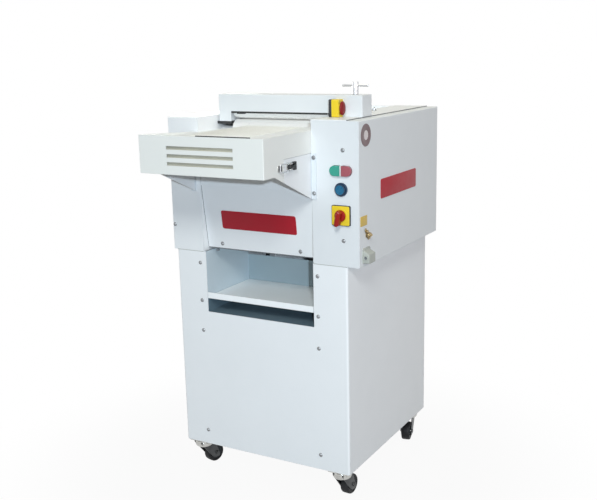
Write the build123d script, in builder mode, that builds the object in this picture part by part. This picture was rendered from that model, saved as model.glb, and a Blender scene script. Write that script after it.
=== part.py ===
from build123d import *
import os
from math import cos, pi, radians, sin, tan

os.makedirs("parts", exist_ok=True)

# Casing, in millimetres
sheet = 2.0  # steel sheet of covers and panels
bend = 6.0  # outside radius of folded corners
head_width = 620.0
head_depth = 560.0
head_height = 394.0
left_housing = 108.0  # width of the drive housing
right_housing = 142.0  # width of the control housing
frame_plate = 6.0  # side plates that carry the shafts
base_plate = 3.0
cabinet_height = 614.0
cabinet_inset_left = 12.0
cabinet_inset_right = 37.0
rear_return = 25.0  # folded edge around the cabinet's rear opening
side_flange = 35.0  # top flange of the right side cover
lid_rise = 2.0  # lid above the flange beside it
hood_drop = 14.0  # hood below the top of the head
vent_length = 60.0
vent_height = 5.0
vent_pitch = 16.0

# Discharge opening and tray
discharge_depth = 184.0  # height of the opening below the head
discharge_left_margin = 7.0  # from the drive housing's inner side
discharge_right_margin = 1.0
recess_depth = 230.0
recess_open = 54.0  # rear wall below the head, where the pieces come in
recess_flange = 30.0
tray_drop = 136.0  # tray surface below the head
tray_gap = 1.5  # each side of the tray
tray_lip_rise = 12.0  # front lip above the tray's surface
tray_lip_drop = 6.0
tray_rail = 15.0

# Infeed box and feed belt
infeed_reach = 244.0
infeed_over_left = 18.0  # infeed box over the front of the drive housing
infeed_over_right = 1.0
infeed_height = 102.0
table_drop = 27.0  # rim of the infeed box below the head's top
left_plate_drop = 14.0  # left table plate below the rim
slot_length = 208.0
slot_height = 9.0
slot_pitch = 21.0
slot_top = 27.0  # first slot's upper edge below the rim
skirt_drop = 61.0  # skirt edge of the guard below the rim
gusset_drop = 187.0  # foot of the gussets below the rim
gusset_screw_foot = 17.0  # lower screw above the gusset's foot
gusset_screw_top = 12.0  # upper screw below the skirt edge
gusset_seam = 146.0  # in front of the head
knee = 193.0  # where the guard's lower edge starts to fall
flange_width = 14.0
tongue = 3.0  # inner plate of each gusset
feed_width = 190.0
feed_shift = 33.0  # belt's middle right of the head opening's middle
apron_gap = 15.0  # left plate's front apron behind the guard
apron_drop = 72.0
apron_side = 0.5  # from the apron to the gusset's inner plate
feed_front_radius = 36.0
feed_rear_radius = 20.0
feed_front = 192.0  # front drum's axis in front of the head
feed_rear = 70.0  # rear drum's axis behind the head's front
feed_rise = 1.0  # felt above the rim
felt = 3.0
felt_gap = 0.3
feed_shaft = 6.0

# Bridge, sheeting rollers and T-handle
bridge_left = 7.0  # from the drive housing's inner side
bridge_right = 37.0  # from the head's right side
bridge_front = 100.0  # behind the head's front
bridge_depth = 60.0
bridge_rise = 11.0  # underside of the bridge above the head's top
bridge_height = 49.0
left_leg = 42.0
right_leg = 50.0
leg_drop = 18.0  # left leg's end below the head's top
foot_height = 8.0
roller_axis = 130.0  # behind the head's front
nip_drop = 13.0  # top of the lower roller below the head's top
nip_gap = 3.0
upper_radius = 24.0
lower_radius = 30.0
roller_gap_left = 52.0  # from the left side plate to the rollers
roller_gap_right = 4.0
roller_shaft = 9.0
gear_gap = 14.0  # gears beyond the right plate's inner face
gear_width = 10.0
lower_teeth = 20
upper_teeth = 16
addendum = 2.4
dedendum = 3.2
tooth_share = 0.42  # tooth thickness over pitch
pressure_angle = 20.0
carriage_depth = 36.0
guide_gap = 0.3  # between the carriage blocks and the bridge
carriage_plate = 6.0
handle_inset = 72.0  # axis from the head's right side
handle_post = 9.0
handle_height = 35.0
handle_screw = 5.0
screw_reach = 31.0
tommy_radius = 3.5
tommy_length = 80.0
tommy_drop = 10.0

# Moulding felts: axis behind the head's front, axis height above the head's underside
drum_radius = 34.0
mould_felt = 5.0
felt_side = 10.0  # from each side plate to the moulding felts
lower_front_axis = (150.0, 80.0)
lower_rear_axis = (110.0, 120.0)  # in front of the head's rear, above its underside
upper_front_axis = (140.0, 185.0)
upper_rear_axis = (110.0, 240.0)
drum_shaft = 10.0

# Drive
run_gap = 0.05  # radial clearance of a shaft in its bearing
bearing_radius = 20.0
seat_gap = 0.02  # radial, around a bearing or a pulley that is pressed in place
bearing_flange = 26.0
bearing_flange_depth = 6.0
side_belt_left = 60.0  # from the head's left side
side_belt_width = 10.0
side_belt = 4.0
pulley_flange = 2.0
pulley_rim = 6.0
lower_pulley = 40.0
upper_pulley = 32.0
roller_pulley = 26.0
feed_pulley = 20.0
v_belt_left = 28.0
v_belt_width = 12.0
v_belt = 7.0
belt_room = 1.0  # between a belt and the flanges of its pulleys, in all
drive_pulley_radius = 85.0
motor_pulley_radius = 30.0
motor_back = 330.0  # axis behind the head's front
motor_radius = 70.0
motor_length = 210.0
motor_left = 62.0
motor_shaft = 9.0
motor_foot = 24.0  # underside of the motor above the cabinet base

# Controls on the right column: distance from the head's right side, height above its underside
control_inset = 52.0
twin_height = 262.0
twin_length = 71.0
twin_width = 35.0
twin_rim = 3.5
twin_bar = 5.0  # pale bar between the two caps
bezel_depth = 6.0
cap_gap = 0.3
cap_reach = 9.0
reset_height = 212.0
reset_bezel = 18.5
reset_radius = 15.0
switch_height = 142.0
switch_width = 55.0
switch_plate_depth = 8.0
plate_corner = 4.0
knob_radius = 16.0
knob_base = 6.0
knob_grip_width = 13.0
knob_grip_length = 42.0
knob_reach = 24.0
knob_shaft = 4.0

# Emergency stop on the bridge
estop_inset = 124.5  # left side of its box from the head's right side
estop_width = 30.0
estop_depth = 28.0
estop_height = 48.0
mushroom_radius = 15.0
mushroom_width = 8.0
mushroom_neck = 9.0
mushroom_gap = 3.0
mushroom_clear = 1.0  # from the mushroom's rim to the bridge

# Fittings
earth_back = 47.0
earth_rise = 85.0
earth_radius = 3.0
earth_reach = 16.0
earth_nut = 8.0
earth_nut_depth = 6.0
side_reach = 20.0  # cable outlet beyond the right side cover
outlet_back = 39.0
outlet_rise = 30.0
outlet_width = 44.0
outlet_height = 42.0
outlet_bore = 8.0
latch_drop = 82.0  # below the rim of the infeed box
latch_pivot = 125.0  # in front of the head
latch_catch = 172.0
latch_plate = 2.0
latch_rod = 1.6
lever_length = 30.0
lever_width = 12.0
lever_depth = 7.0
thumb_length = 14.0  # wide end of the lever
thumb_width = 20.0
lever_gap = 0.3
bail_pivot = 9.0  # bail joint behind the lever pivot
bail_width = 21.0
bail_corner = 3.0  # bend of the bail's wire
ear_height = 8.5  # outer side of each ear from the lever's middle
ear_depth = 2.2
pivot_radius = 2.0
screw_radius = 2.4
screw_head_radius = 4.6
screw_head = 2.2
screw_length = 8.0
screw_gap = 0.05
cabinet_screw_drops = (35.0, 151.0, 245.0)  # below the head
cabinet_screw_foot = 45.0  # lowest screws above the cabinet's underside
edge_screw = 8.0  # left column's screw from the head's left side
edge_screw_rise = 75.0
column_screw_inset = 47.0  # right column's screws from the head's right side
column_screw_rise = 72.0
column_screw_drop = 77.0

# Casters
caster_height = 92.0
caster_inset_side = 40.0
caster_inset_end = 32.0
caster_plate_size = 62.0
caster_plate = 3.0
wheel_radius = 30.0
wheel_width = 27.0
caster_trail = 38.0
cheek = 3.0
cheek_gap = 1.0
cheek_top = 26.0  # half width of a cheek at the fork's disc
cheek_boss = 14.0  # radius of a cheek round the axle
fork_disc = 28.0
fork_disc_depth = 20.0
fork_disc_bevel = 4.0
race_depth = 3.0
race_gap = 0.3
kingpin = 5.0
kingpin_head = 9.0
kingpin_head_depth = 3.0
axle_radius = 4.0
axle_head = 4.0

# Datums: the origin is on the floor, under the middle of the whole machine
x_left = -(head_width + side_reach) / 2
x_right = x_left + head_width
y_front = infeed_reach - (infeed_reach + head_depth) / 2
y_rear = y_front + head_depth
z_cab = caster_height
z_head = z_cab + cabinet_height
z_top = z_head + head_height
x_open = (x_left + left_housing, x_right - right_housing)
x_mid = (x_open[0] + x_open[1]) / 2
x_cab = (x_left + cabinet_inset_left, x_right - cabinet_inset_right)
y_inner = (y_front + sheet, y_rear - sheet)
x_infeed = (x_open[0] - infeed_over_left, x_open[1] + infeed_over_right)
z_table = z_top - table_drop
y_roll = y_front + roller_axis
z_nip = z_top - nip_drop
z_lower = z_nip - lower_radius
z_upper = z_nip + nip_gap + upper_radius


def block(x_span, y_span, z_span, mode=Mode.ADD):
    spans = (x_span, y_span, z_span)
    with Locations(tuple((low + high) / 2 for low, high in spans)):
        Box(*(high - low for low, high in spans), mode=mode)


def rod_x(x_span, y, z, radius, mode=Mode.ADD):
    with Locations(Location((x_span[0], y, z), (0, 90, 0))):
        Cylinder(radius, x_span[1] - x_span[0], align=(Align.CENTER, Align.CENTER, Align.MIN), mode=mode)


def rod_y(y_span, x, z, radius, mode=Mode.ADD):
    with Locations(Location((x, y_span[0], z), (-90, 0, 0))):
        Cylinder(radius, y_span[1] - y_span[0], align=(Align.CENTER, Align.CENTER, Align.MIN), mode=mode)


def rod_z(z_span, x, y, radius, mode=Mode.ADD):
    with Locations((x, y, z_span[0])):
        Cylinder(radius, z_span[1] - z_span[0], align=(Align.CENTER, Align.CENTER, Align.MIN), mode=mode)


def save(node, name):
    node.part.label = name
    export_step(node.part, f"parts/{name}.step")


def screw(x, y_face, z, length):
    rod_y((y_face - screw_head, y_face), x, z, screw_head_radius)
    rod_y((y_face, y_face + length), x, z, screw_radius)


# Cabinet
notch_x = (x_open[0] + discharge_left_margin, x_open[1] - discharge_right_margin)
z_notch = z_head - discharge_depth
screw_x = (notch_x[0] - recess_flange * 0.7, notch_x[1] + recess_flange * 0.45)
screw_z = [z_head - drop for drop in cabinet_screw_drops] + [z_cab + cabinet_screw_foot]
cabinet_screw_points = [(x, z) for x in screw_x for z in screw_z]

with BuildPart() as cabinet_shell:
    with BuildSketch(Plane.XY.offset(z_cab)) as plan:
        with Locations(((x_cab[0] + x_cab[1]) / 2, (y_front + y_inner[1]) / 2)):
            Rectangle(x_cab[1] - x_cab[0], y_inner[1] - y_front)
        fillet(plan.vertices().group_by(Axis.Y)[0], bend)
        offset(amount=-sheet, mode=Mode.SUBTRACT)
    extrude(amount=cabinet_height)
    with BuildSketch(Plane.XY.offset(z_cab)):
        add(make_face(plan.sketch.face().outer_wire().edges()))
    extrude(amount=base_plate)
    rear_x = (x_cab[0] + rear_return, x_cab[1] - rear_return)
    block(rear_x, (y_inner[1] - 2 * sheet, y_rear), (z_cab + rear_return, z_head - rear_return), Mode.SUBTRACT)
    block(notch_x, (y_front - sheet, y_inner[0]), (z_notch, z_head + sheet), Mode.SUBTRACT)
    for x, z in cabinet_screw_points:
        rod_y((y_front - sheet, y_inner[0] + sheet), x, z, screw_radius + screw_gap, Mode.SUBTRACT)
save(cabinet_shell, "cabinet_shell")

with BuildPart() as cabinet_rear_panel:
    block(x_cab, (y_inner[1], y_rear), (z_cab, z_head))
    with BuildSketch(Plane.XZ.offset(-y_rear)):
        with Locations(((x_cab[0] + x_cab[1]) / 2, z_cab + cabinet_height * 0.3)):
            with GridLocations(vent_length * 1.6, vent_pitch, 2, 7):
                SlotOverall(vent_length, vent_height)
    extrude(amount=sheet, mode=Mode.SUBTRACT)
save(cabinet_rear_panel, "cabinet_rear_panel")

# Discharge recess with two ledges, and the tray that slides on them
z_tray = z_head - tray_drop
with BuildPart() as discharge_recess:
    recess_x = (notch_x[0] - sheet, notch_x[1] + sheet)
    recess_y = (y_inner[0], y_front + recess_depth)
    block(recess_x, recess_y, (z_notch - sheet, z_head))
    block(notch_x, (recess_y[0] - sheet, recess_y[1] - sheet), (z_notch, z_head + sheet), Mode.SUBTRACT)
    block(notch_x, (recess_y[1] - 2 * sheet, recess_y[1]), (z_head - recess_open, z_head), Mode.SUBTRACT)
    flange_y = (y_inner[0], y_inner[0] + sheet)
    block((notch_x[0] - recess_flange, recess_x[0]), flange_y, (z_notch - sheet, z_head))
    block((recess_x[1], notch_x[1] + recess_flange), flange_y, (z_notch - sheet, z_head))
    rail_y = (y_front + tray_rail, y_front + recess_depth)
    rail_z = (z_tray - 2 * sheet, z_tray - sheet)
    block((recess_x[0], notch_x[0] + tray_rail), rail_y, rail_z)
    block((notch_x[1] - tray_rail, recess_x[1]), rail_y, rail_z)
    for x, z in cabinet_screw_points:
        rod_y((y_front, y_inner[0] + 2 * sheet), x, z, screw_radius + screw_gap, Mode.SUBTRACT)
save(discharge_recess, "discharge_recess")

with BuildPart() as discharge_tray:
    tray_x = (notch_x[0] + tray_gap, notch_x[1] - tray_gap)
    tray_rear = y_front + recess_depth - 2 * sheet
    block(tray_x, (y_front, tray_rear), (z_tray - sheet, z_tray))
    block(tray_x, (y_front, y_inner[0]), (z_tray - tray_lip_drop, z_tray + tray_lip_rise))
    fillet(discharge_tray.edges().filter_by(Axis.X).group_by(Axis.Y)[0], sheet * 0.3)
save(discharge_tray, "discharge_tray")

# Head casing
v_belt_span = (x_left + v_belt_left, x_left + v_belt_left + v_belt_width)
left_screw_points = [(x_left + edge_screw, z_head + edge_screw_rise)]
column_screw_z = (z_head + column_screw_rise, z_top - column_screw_drop)
right_screw_points = [(x_right - column_screw_inset, z) for z in column_screw_z]

with BuildPart() as left_housing_cover:
    block((x_left, x_open[0]), (y_front, y_inner[1]), (z_head, z_top))
    corner = left_housing_cover.edges().filter_by(Axis.Z).group_by(Axis.X)[0].sort_by(Axis.Y)[0]
    top_side = left_housing_cover.edges().filter_by(Axis.Y).group_by(Axis.X)[0].sort_by(Axis.Z)[-1]
    top_front = left_housing_cover.edges().filter_by(Axis.X).group_by(Axis.Z)[-1].sort_by(Axis.Y)[0]
    fillet([corner, top_side, top_front], bend * 0.6)
    hollow_x = (x_left + sheet, x_open[0] + sheet)
    block(hollow_x, (y_inner[0], y_rear), (z_head - sheet, z_top - sheet), Mode.SUBTRACT)
    for x, z in left_screw_points:
        rod_y((y_front - sheet, y_inner[0] + sheet), x, z, screw_radius + screw_gap, Mode.SUBTRACT)
save(left_housing_cover, "left_housing_cover")

x_control = x_right - control_inset
with BuildPart() as control_column:
    block((x_open[1], x_right - sheet), (y_front, y_inner[0]), (z_head, z_top - sheet))
    with BuildSketch(Plane.XZ.offset(-y_front)):
        with Locations((x_control, z_head + twin_height)):
            SlotOverall(twin_length - 2 * twin_rim + 2 * cap_gap, twin_width - 2 * twin_rim + 2 * cap_gap)
        with Locations((x_control, z_head + reset_height)):
            Circle(reset_radius + cap_gap)
        with Locations((x_control, z_head + switch_height)):
            Circle(knob_shaft + run_gap)
        with Locations(*right_screw_points):
            Circle(screw_radius + screw_gap)
    extrude(amount=-2 * sheet, mode=Mode.SUBTRACT)
save(control_column, "control_column")

with BuildPart() as right_side_cover:
    block((x_right - side_flange, x_right), (y_front, y_inner[1]), (z_head, z_top))
    top_side = right_side_cover.edges().filter_by(Axis.Y).group_by(Axis.X)[-1].sort_by(Axis.Z)[-1]
    fillet(top_side, bend * 0.6)
    corner = right_side_cover.edges().filter_by(Axis.Z).group_by(Axis.X)[-1].sort_by(Axis.Y)[0]
    fillet(corner, sheet * 0.7)
    hollow_x = (x_right - side_flange - sheet, x_right - sheet)
    block(hollow_x, (y_front - sheet, y_rear), (z_head - sheet, z_top - sheet), Mode.SUBTRACT)
    rod_x((x_right - 2 * sheet, x_right + sheet), y_front + earth_back, z_head + earth_rise,
          earth_radius + screw_gap, Mode.SUBTRACT)
    rod_x((x_right - 2 * sheet, x_right + sheet), y_front + outlet_back, z_head + outlet_rise,
          outlet_bore, Mode.SUBTRACT)
save(right_side_cover, "right_side_cover")

bridge_y = (y_front + bridge_front, y_front + bridge_front + bridge_depth)
with BuildPart() as right_lid:
    block((x_open[1], x_right - side_flange), (y_front, y_inner[1]), (z_top - sheet, z_top + lid_rise))
    fillet(right_lid.faces().sort_by(Axis.Z)[-1].edges(), lid_rise * 0.7)
    gear_window = (x_open[1] + gear_gap - sheet, x_right - bridge_right - 3 * sheet)
    window_y = (bridge_y[0] + sheet, bridge_y[1] - sheet)
    block(gear_window, window_y, (z_top - 2 * sheet, z_top + 2 * lid_rise), Mode.SUBTRACT)
save(right_lid, "right_lid")

panel_set_back = 27.0
panel_rise = 8.0
panel_fold = 200.0
panel_top = 255.0
panel_foot = 18.0
panel_gap = 1.0
panel_slope = (panel_set_back - sheet) / (panel_fold - panel_rise)
panel_screw_rise = 24.0
panel_screw_left = 52.0  # from the inner side of the housing beside it
panel_screw_right = 54.0
panel_screw_x = (x_open[0] + panel_screw_left, x_open[1] - panel_screw_right)
panel_screw_points = [(x, z_head + panel_screw_rise) for x in panel_screw_x]


def panel_face(z):
    return y_front + panel_set_back - panel_slope * (z - z_head - panel_rise)


# Sloped panel between the columns, with a folded foot
with BuildPart() as front_middle_panel:
    with BuildSketch(Plane.YZ.offset(x_open[0] + panel_gap)):
        with BuildLine():
            y_foot = y_front + panel_set_back
            Polyline(
                (y_foot, z_head + panel_rise),
                (y_inner[0], z_head + panel_fold),
                (y_inner[0], z_head + panel_top),
                (y_inner[0] + sheet, z_head + panel_top),
                (y_inner[0] + sheet, z_head + panel_fold),
                (y_foot + sheet, z_head + panel_rise + sheet),
                (y_foot + panel_foot, z_head + panel_rise + sheet),
                (y_foot + panel_foot, z_head + panel_rise),
                close=True,
            )
        make_face()
    extrude(amount=x_open[1] - x_open[0] - 2 * panel_gap)
    for x, z in panel_screw_points:
        rod_y((y_front, y_foot + sheet * 2), x, z, screw_radius + screw_gap, Mode.SUBTRACT)
save(front_middle_panel, "front_middle_panel")

with BuildPart() as rear_cover:
    block((x_left, x_right), (y_inner[1], y_rear), (z_head, z_top))
    with BuildSketch(Plane.XZ.offset(-y_rear)):
        with Locations((x_mid, z_head + head_height * 0.45)):
            with GridLocations(vent_length * 1.6, vent_pitch, 3, 5):
                SlotOverall(vent_length, vent_height)
    extrude(amount=sheet, mode=Mode.SUBTRACT)
    hood_y = (bridge_y[1] + 3 * sheet, y_inner[1])
    hood_z = (z_top - hood_drop - sheet, z_top - hood_drop)
    block(x_open, hood_y, hood_z)
    block(x_open, (hood_y[0], hood_y[0] + sheet), (hood_z[0] - hood_drop, hood_z[1]))
save(rear_cover, "rear_cover")

# Shaft lines: axis in Y and Z, radius of the shaft
shaft_lines = {
    "lower_front": (y_front + lower_front_axis[0], z_head + lower_front_axis[1], drum_shaft),
    "lower_rear": (y_rear - lower_rear_axis[0], z_head + lower_rear_axis[1], drum_shaft),
    "upper_front": (y_front + upper_front_axis[0], z_head + upper_front_axis[1], drum_shaft),
    "upper_rear": (y_rear - upper_rear_axis[0], z_head + upper_rear_axis[1], drum_shaft),
    "lower_roller": (y_roll, z_lower, roller_shaft),
    "feed_rear": (y_front + feed_rear, z_table + feed_rise - felt - felt_gap - feed_rear_radius, feed_shaft),
}
frame_x = {"left": (x_open[0] - frame_plate, x_open[0]), "right": (x_open[1], x_open[1] + frame_plate)}

# Welded frame: base plate, two side plates and a tie bar behind the sloped panel's foot
with BuildPart() as head_frame:
    block((x_left + sheet, x_right - sheet), y_inner, (z_head, z_head + base_plate))
    window_y = (y_front, y_front + recess_depth)
    block(x_open, window_y, (z_head - sheet, z_head + 2 * base_plate), Mode.SUBTRACT)
    belt_slot_x = (v_belt_span[0] - v_belt, v_belt_span[1] + v_belt)
    belt_slot_y = (y_front + motor_back - drive_pulley_radius, y_rear - 4 * sheet)
    block(belt_slot_x, belt_slot_y, (z_head - sheet, z_head + 2 * base_plate), Mode.SUBTRACT)
    for x_span in frame_x.values():
        block(x_span, y_inner, (z_head + base_plate, z_top - sheet))
        for y, z, radius in shaft_lines.values():
            rod_x(x_span, y, z, bearing_radius + seat_gap, Mode.SUBTRACT)
    tie_y = (y_front + panel_set_back + sheet * 3, y_front + panel_set_back + panel_foot)
    block(x_open, tie_y, (z_head + panel_rise + sheet, z_head + panel_rise + panel_foot))
    for x, z in panel_screw_points:
        rod_y((tie_y[0] - sheet, tie_y[1] + sheet), x, z, screw_radius + screw_gap, Mode.SUBTRACT)
save(head_frame, "head_frame")

with BuildPart() as flange_bearings:
    for y, z, radius in shaft_lines.values():
        left_flange = (frame_x["left"][0] - bearing_flange_depth, frame_x["left"][0])
        right_flange = (frame_x["right"][1], frame_x["right"][1] + bearing_flange_depth)
        for seat, flange in ((frame_x["left"], left_flange), (frame_x["right"], right_flange)):
            rod_x(seat, y, z, bearing_radius)
            rod_x(flange, y, z, bearing_flange)
            rod_x((min(seat[0], flange[0]), max(seat[1], flange[1])), y, z, radius + run_gap, Mode.SUBTRACT)
save(flange_bearings, "flange_bearings")


def pulley(x_face, width, y, z, radius, bore):
    right_face = x_face + pulley_flange + width
    for flange in (x_face, right_face):
        rod_x((flange, flange + pulley_flange), y, z, radius + pulley_rim)
    rod_x((x_face, right_face + pulley_flange), y, z, radius)
    rod_x((x_face, right_face + pulley_flange), y, z, bore, Mode.SUBTRACT)


def drum(face_x, shaft_x, line, radius, pulleys=()):
    y, z, shaft = line
    with BuildPart() as turned:
        for x_face, width, pulley_radius in pulleys:
            pulley(x_face, width, y, z, pulley_radius, shaft + seat_gap)
        rod_x(face_x, y, z, radius)
        rod_x(shaft_x, y, z, shaft)
    return turned


def hull_face(wheels, extra):
    with BuildSketch() as outline:
        for y, z, radius in wheels:
            with Locations((y, z)):
                Circle(radius + extra)
        make_hull()
    return outline.sketch


def belt(x_span, wheels, gap, thickness):
    outer = hull_face(wheels, gap + thickness)
    inner = hull_face(wheels, gap)
    with BuildPart() as loop:
        with BuildSketch(Plane.YZ.offset(x_span[0])):
            add(outer)
            add(inner, mode=Mode.SUBTRACT)
        extrude(amount=x_span[1] - x_span[0])
    return loop


# Moulding felts and their drums
felt_x = (x_open[0] + felt_side, x_open[1] - felt_side)
face_x = (felt_x[0] - felt, felt_x[1] + felt)
shaft_end = bearing_flange_depth + frame_plate + felt
idle_x = (x_open[0] - shaft_end, x_open[1] + shaft_end)
side_pulley_x = x_left + side_belt_left
v_pulley_x = v_belt_span[0] - pulley_flange - belt_room / 2
side_room = side_belt_width + belt_room
v_room = v_belt_width + belt_room
driven_x = (side_pulley_x, idle_x[1])
drive_x = (v_pulley_x, idle_x[1])
drive_pulleys = [(side_pulley_x, side_room, lower_pulley), (v_pulley_x, v_room, drive_pulley_radius)]
save(drum(face_x, idle_x, shaft_lines["lower_front"], drum_radius), "lower_front_drum")
save(drum(face_x, drive_x, shaft_lines["lower_rear"], drum_radius, drive_pulleys), "lower_rear_drum")
save(drum(face_x, idle_x, shaft_lines["upper_front"], drum_radius), "upper_front_drum")
upper_pulleys = [(side_pulley_x, side_room, upper_pulley)]
save(drum(face_x, driven_x, shaft_lines["upper_rear"], drum_radius, upper_pulleys), "upper_rear_drum")
for level in ("lower", "upper"):
    loop_wheels = [shaft_lines[f"{level}_{end}"][:2] + (drum_radius,) for end in ("front", "rear")]
    save(belt(felt_x, loop_wheels, felt_gap, mould_felt), f"{level}_moulding_felt")

# Sheeting rollers
roller_x = (x_open[0] + roller_gap_left, x_open[1] - roller_gap_right)
gear_x = (x_open[1] + gear_gap, x_open[1] + gear_gap + gear_width)
lower_shaft_x = (side_pulley_x, gear_x[1] + sheet)
roller_pulleys = [(side_pulley_x, side_room, roller_pulley)]
save(drum(roller_x, lower_shaft_x, shaft_lines["lower_roller"], lower_radius, roller_pulleys), "lower_roller")

x_handle = x_right - handle_inset
gear_clear = 13.0  # from the gears to the carriage's right block
roller_clear = 10.0  # from the rollers to its left block
block_clear = 1.0  # from that block to the bridge's end
block_right = (gear_x[1] + gear_clear, x_handle + handle_post * 2)
block_left = (x_open[0] + bridge_left + sheet + block_clear, roller_x[0] - roller_clear)
upper_shaft_x = (block_left[0] + sheet, x_handle - handle_screw - 2 * sheet)
upper_line = (y_roll, z_upper, roller_shaft)
save(drum(roller_x, upper_shaft_x, upper_line, upper_radius), "upper_roller")

centre_distance = z_upper - z_lower
gear_module = 2 * centre_distance / (lower_teeth + upper_teeth)


def gear(teeth, y, z, first_tooth):
    pitch_radius = gear_module * teeth / 2
    half_tooth = tooth_share * gear_module * pi / 2
    slope = tan(radians(pressure_angle))
    root = pitch_radius - dedendum
    tip = pitch_radius + addendum
    half_root = half_tooth + (dedendum + 1.0) * slope
    half_tip = half_tooth - addendum * slope
    with BuildPart() as wheel:
        with BuildSketch(Plane.YZ.offset(gear_x[0])):
            with Locations((y, z)):
                Circle(root)
                with PolarLocations(0, teeth, start_angle=first_tooth):
                    Polygon((root - 1.0, -half_root), (tip, -half_tip), (tip, half_tip), (root - 1.0, half_root))
                Circle(roller_shaft + run_gap, mode=Mode.SUBTRACT)
        extrude(amount=gear_width)
    return wheel


save(gear(lower_teeth, y_roll, z_lower, 90.0), "lower_roller_gear")
save(gear(upper_teeth, y_roll, z_upper, -90.0 + 180.0 / upper_teeth), "upper_roller_gear")

bridge_x = (x_open[0] + bridge_left, x_right - bridge_right)
bridge_z = (z_top + bridge_rise, z_top + bridge_rise + bridge_height)
z_leg = z_top - leg_drop
with BuildPart() as bridge_cover:
    block(bridge_x, bridge_y, (z_leg, bridge_z[1]))
    rim = bridge_cover.faces().sort_by(Axis.Z)[-1].edges()
    fillet(rim + bridge_cover.edges().filter_by(Axis.Z), sheet * 0.8)
    inner_x = (bridge_x[0] + sheet, bridge_x[1] - sheet)
    inner_y = (bridge_y[0] + sheet, bridge_y[1] - sheet)
    block(inner_x, inner_y, (z_leg - sheet, bridge_z[1] - sheet), Mode.SUBTRACT)
    span_x = (bridge_x[0] + left_leg, bridge_x[1] - right_leg)
    wide_y = (bridge_y[0] - sheet, bridge_y[1] + sheet)
    block(span_x, wide_y, (z_leg - sheet, bridge_z[0]), Mode.SUBTRACT)
    block((span_x[1], bridge_x[1] + sheet), wide_y, (z_leg - sheet, z_top + lid_rise), Mode.SUBTRACT)
    rod_z((bridge_z[1] - 2 * sheet, bridge_z[1] + sheet), x_handle, y_roll, handle_screw + run_gap, Mode.SUBTRACT)
save(bridge_cover, "bridge_cover")

# Carriage of the upper roller: a plate with a block at each end, guided by the bridge
carriage_clear = 4.0  # above the upper roller
z_carriage = z_upper + upper_radius + carriage_clear
carriage_y = (y_roll - carriage_depth / 2, y_roll + carriage_depth / 2)
guide_y = (inner_y[0] + guide_gap, inner_y[1] - guide_gap)
with BuildPart() as roller_carriage:
    block((block_left[0], block_right[1]), carriage_y, (z_carriage, z_carriage + carriage_plate))
    block(block_left, guide_y, (z_leg, z_carriage))
    block(block_right, guide_y, (z_top, z_carriage))
    rod_x((block_left[0], upper_shaft_x[1] + sheet), y_roll, z_upper, roller_shaft + run_gap, Mode.SUBTRACT)
    rod_z((z_top, z_carriage + carriage_plate), x_handle, y_roll, handle_screw + run_gap, Mode.SUBTRACT)
save(roller_carriage, "roller_carriage")

# Foot under the left leg, held by the frame's side plate
with BuildPart() as bridge_foot:
    block((x_open[0], bridge_x[0] + left_leg), bridge_y, (z_leg - foot_height, z_leg))
    right_edges = bridge_foot.edges().filter_by(Axis.Z).group_by(Axis.X)[-1]
    fillet(right_edges, sheet * 0.8)
save(bridge_foot, "bridge_foot")

with BuildPart() as t_handle:
    rod_z((bridge_z[1], bridge_z[1] + handle_height), x_handle, y_roll, handle_post)
    fillet(t_handle.edges().group_by(Axis.Z)[-1], 2.0)
    rod_z((bridge_z[1] - screw_reach, bridge_z[1]), x_handle, y_roll, handle_screw)
    z_tommy = bridge_z[1] + handle_height - tommy_drop
    tommy_x = (x_handle - tommy_length / 2, x_handle + tommy_length / 2)
    rod_x(tommy_x, y_roll, z_tommy, tommy_radius + seat_gap, Mode.SUBTRACT)
    rod_x(tommy_x, y_roll, z_tommy, tommy_radius)
    bar_ends = t_handle.edges().filter_by(GeomType.CIRCLE).group_by(Axis.X)
    fillet(bar_ends[0] + bar_ends[-1], tommy_radius * 0.6)
save(t_handle, "t_handle")

# Guides between the side plates: scraper, chute behind the rollers, rear deflector
chute_back = 44.0  # chute's upper end behind the rollers' axis
chute_drop = 63.0  # and below the lower roller's top
chute_short = 20.0  # chute's lower end in front of the upper felt's rear axis
chute_clear = 20.7  # and above that felt
deflector_gap = 50.0  # in front of the head's rear
deflector_foot = 60.0  # above the head's underside
deflector_top = 18.0  # below the hood
scraper_gap = 1.0  # behind the lower roller
scraper_depth = 8.0
scraper_drop = 8.0  # below the lower roller's axis
scraper_height = 16.0
blade_depth = 1.5
with BuildPart() as dough_guides:
    scraper_y = (y_roll + lower_radius + scraper_gap, y_roll + lower_radius + scraper_gap + scraper_depth)
    z_blade = z_lower - scraper_drop
    block(x_open, scraper_y, (z_blade - scraper_height, z_blade))
    blade_y = (y_roll + lower_radius * 0.98 + felt_gap, scraper_y[1])
    block(roller_x, blade_y, (z_blade, z_blade + blade_depth))
    chute_start = (y_roll + chute_back, z_nip - chute_drop)
    felt_top = shaft_lines["upper_rear"][1] + drum_radius + felt_gap + mould_felt
    chute_end = (shaft_lines["upper_rear"][0] - chute_short, felt_top + chute_clear)
    with BuildSketch(Plane.YZ.offset(x_open[0])):
        with BuildLine():
            Polyline(
                chute_start,
                chute_end,
                (chute_end[0], chute_end[1] - sheet),
                (chute_start[0], chute_start[1] - sheet),
                close=True,
            )
        make_face()
    extrude(amount=x_open[1] - x_open[0])
    y_deflector = y_rear - deflector_gap
    deflector_z = (z_head + deflector_foot, hood_z[0] - deflector_top)
    block(x_open, (y_deflector, y_deflector + sheet), deflector_z)
save(dough_guides, "dough_guides")

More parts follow.
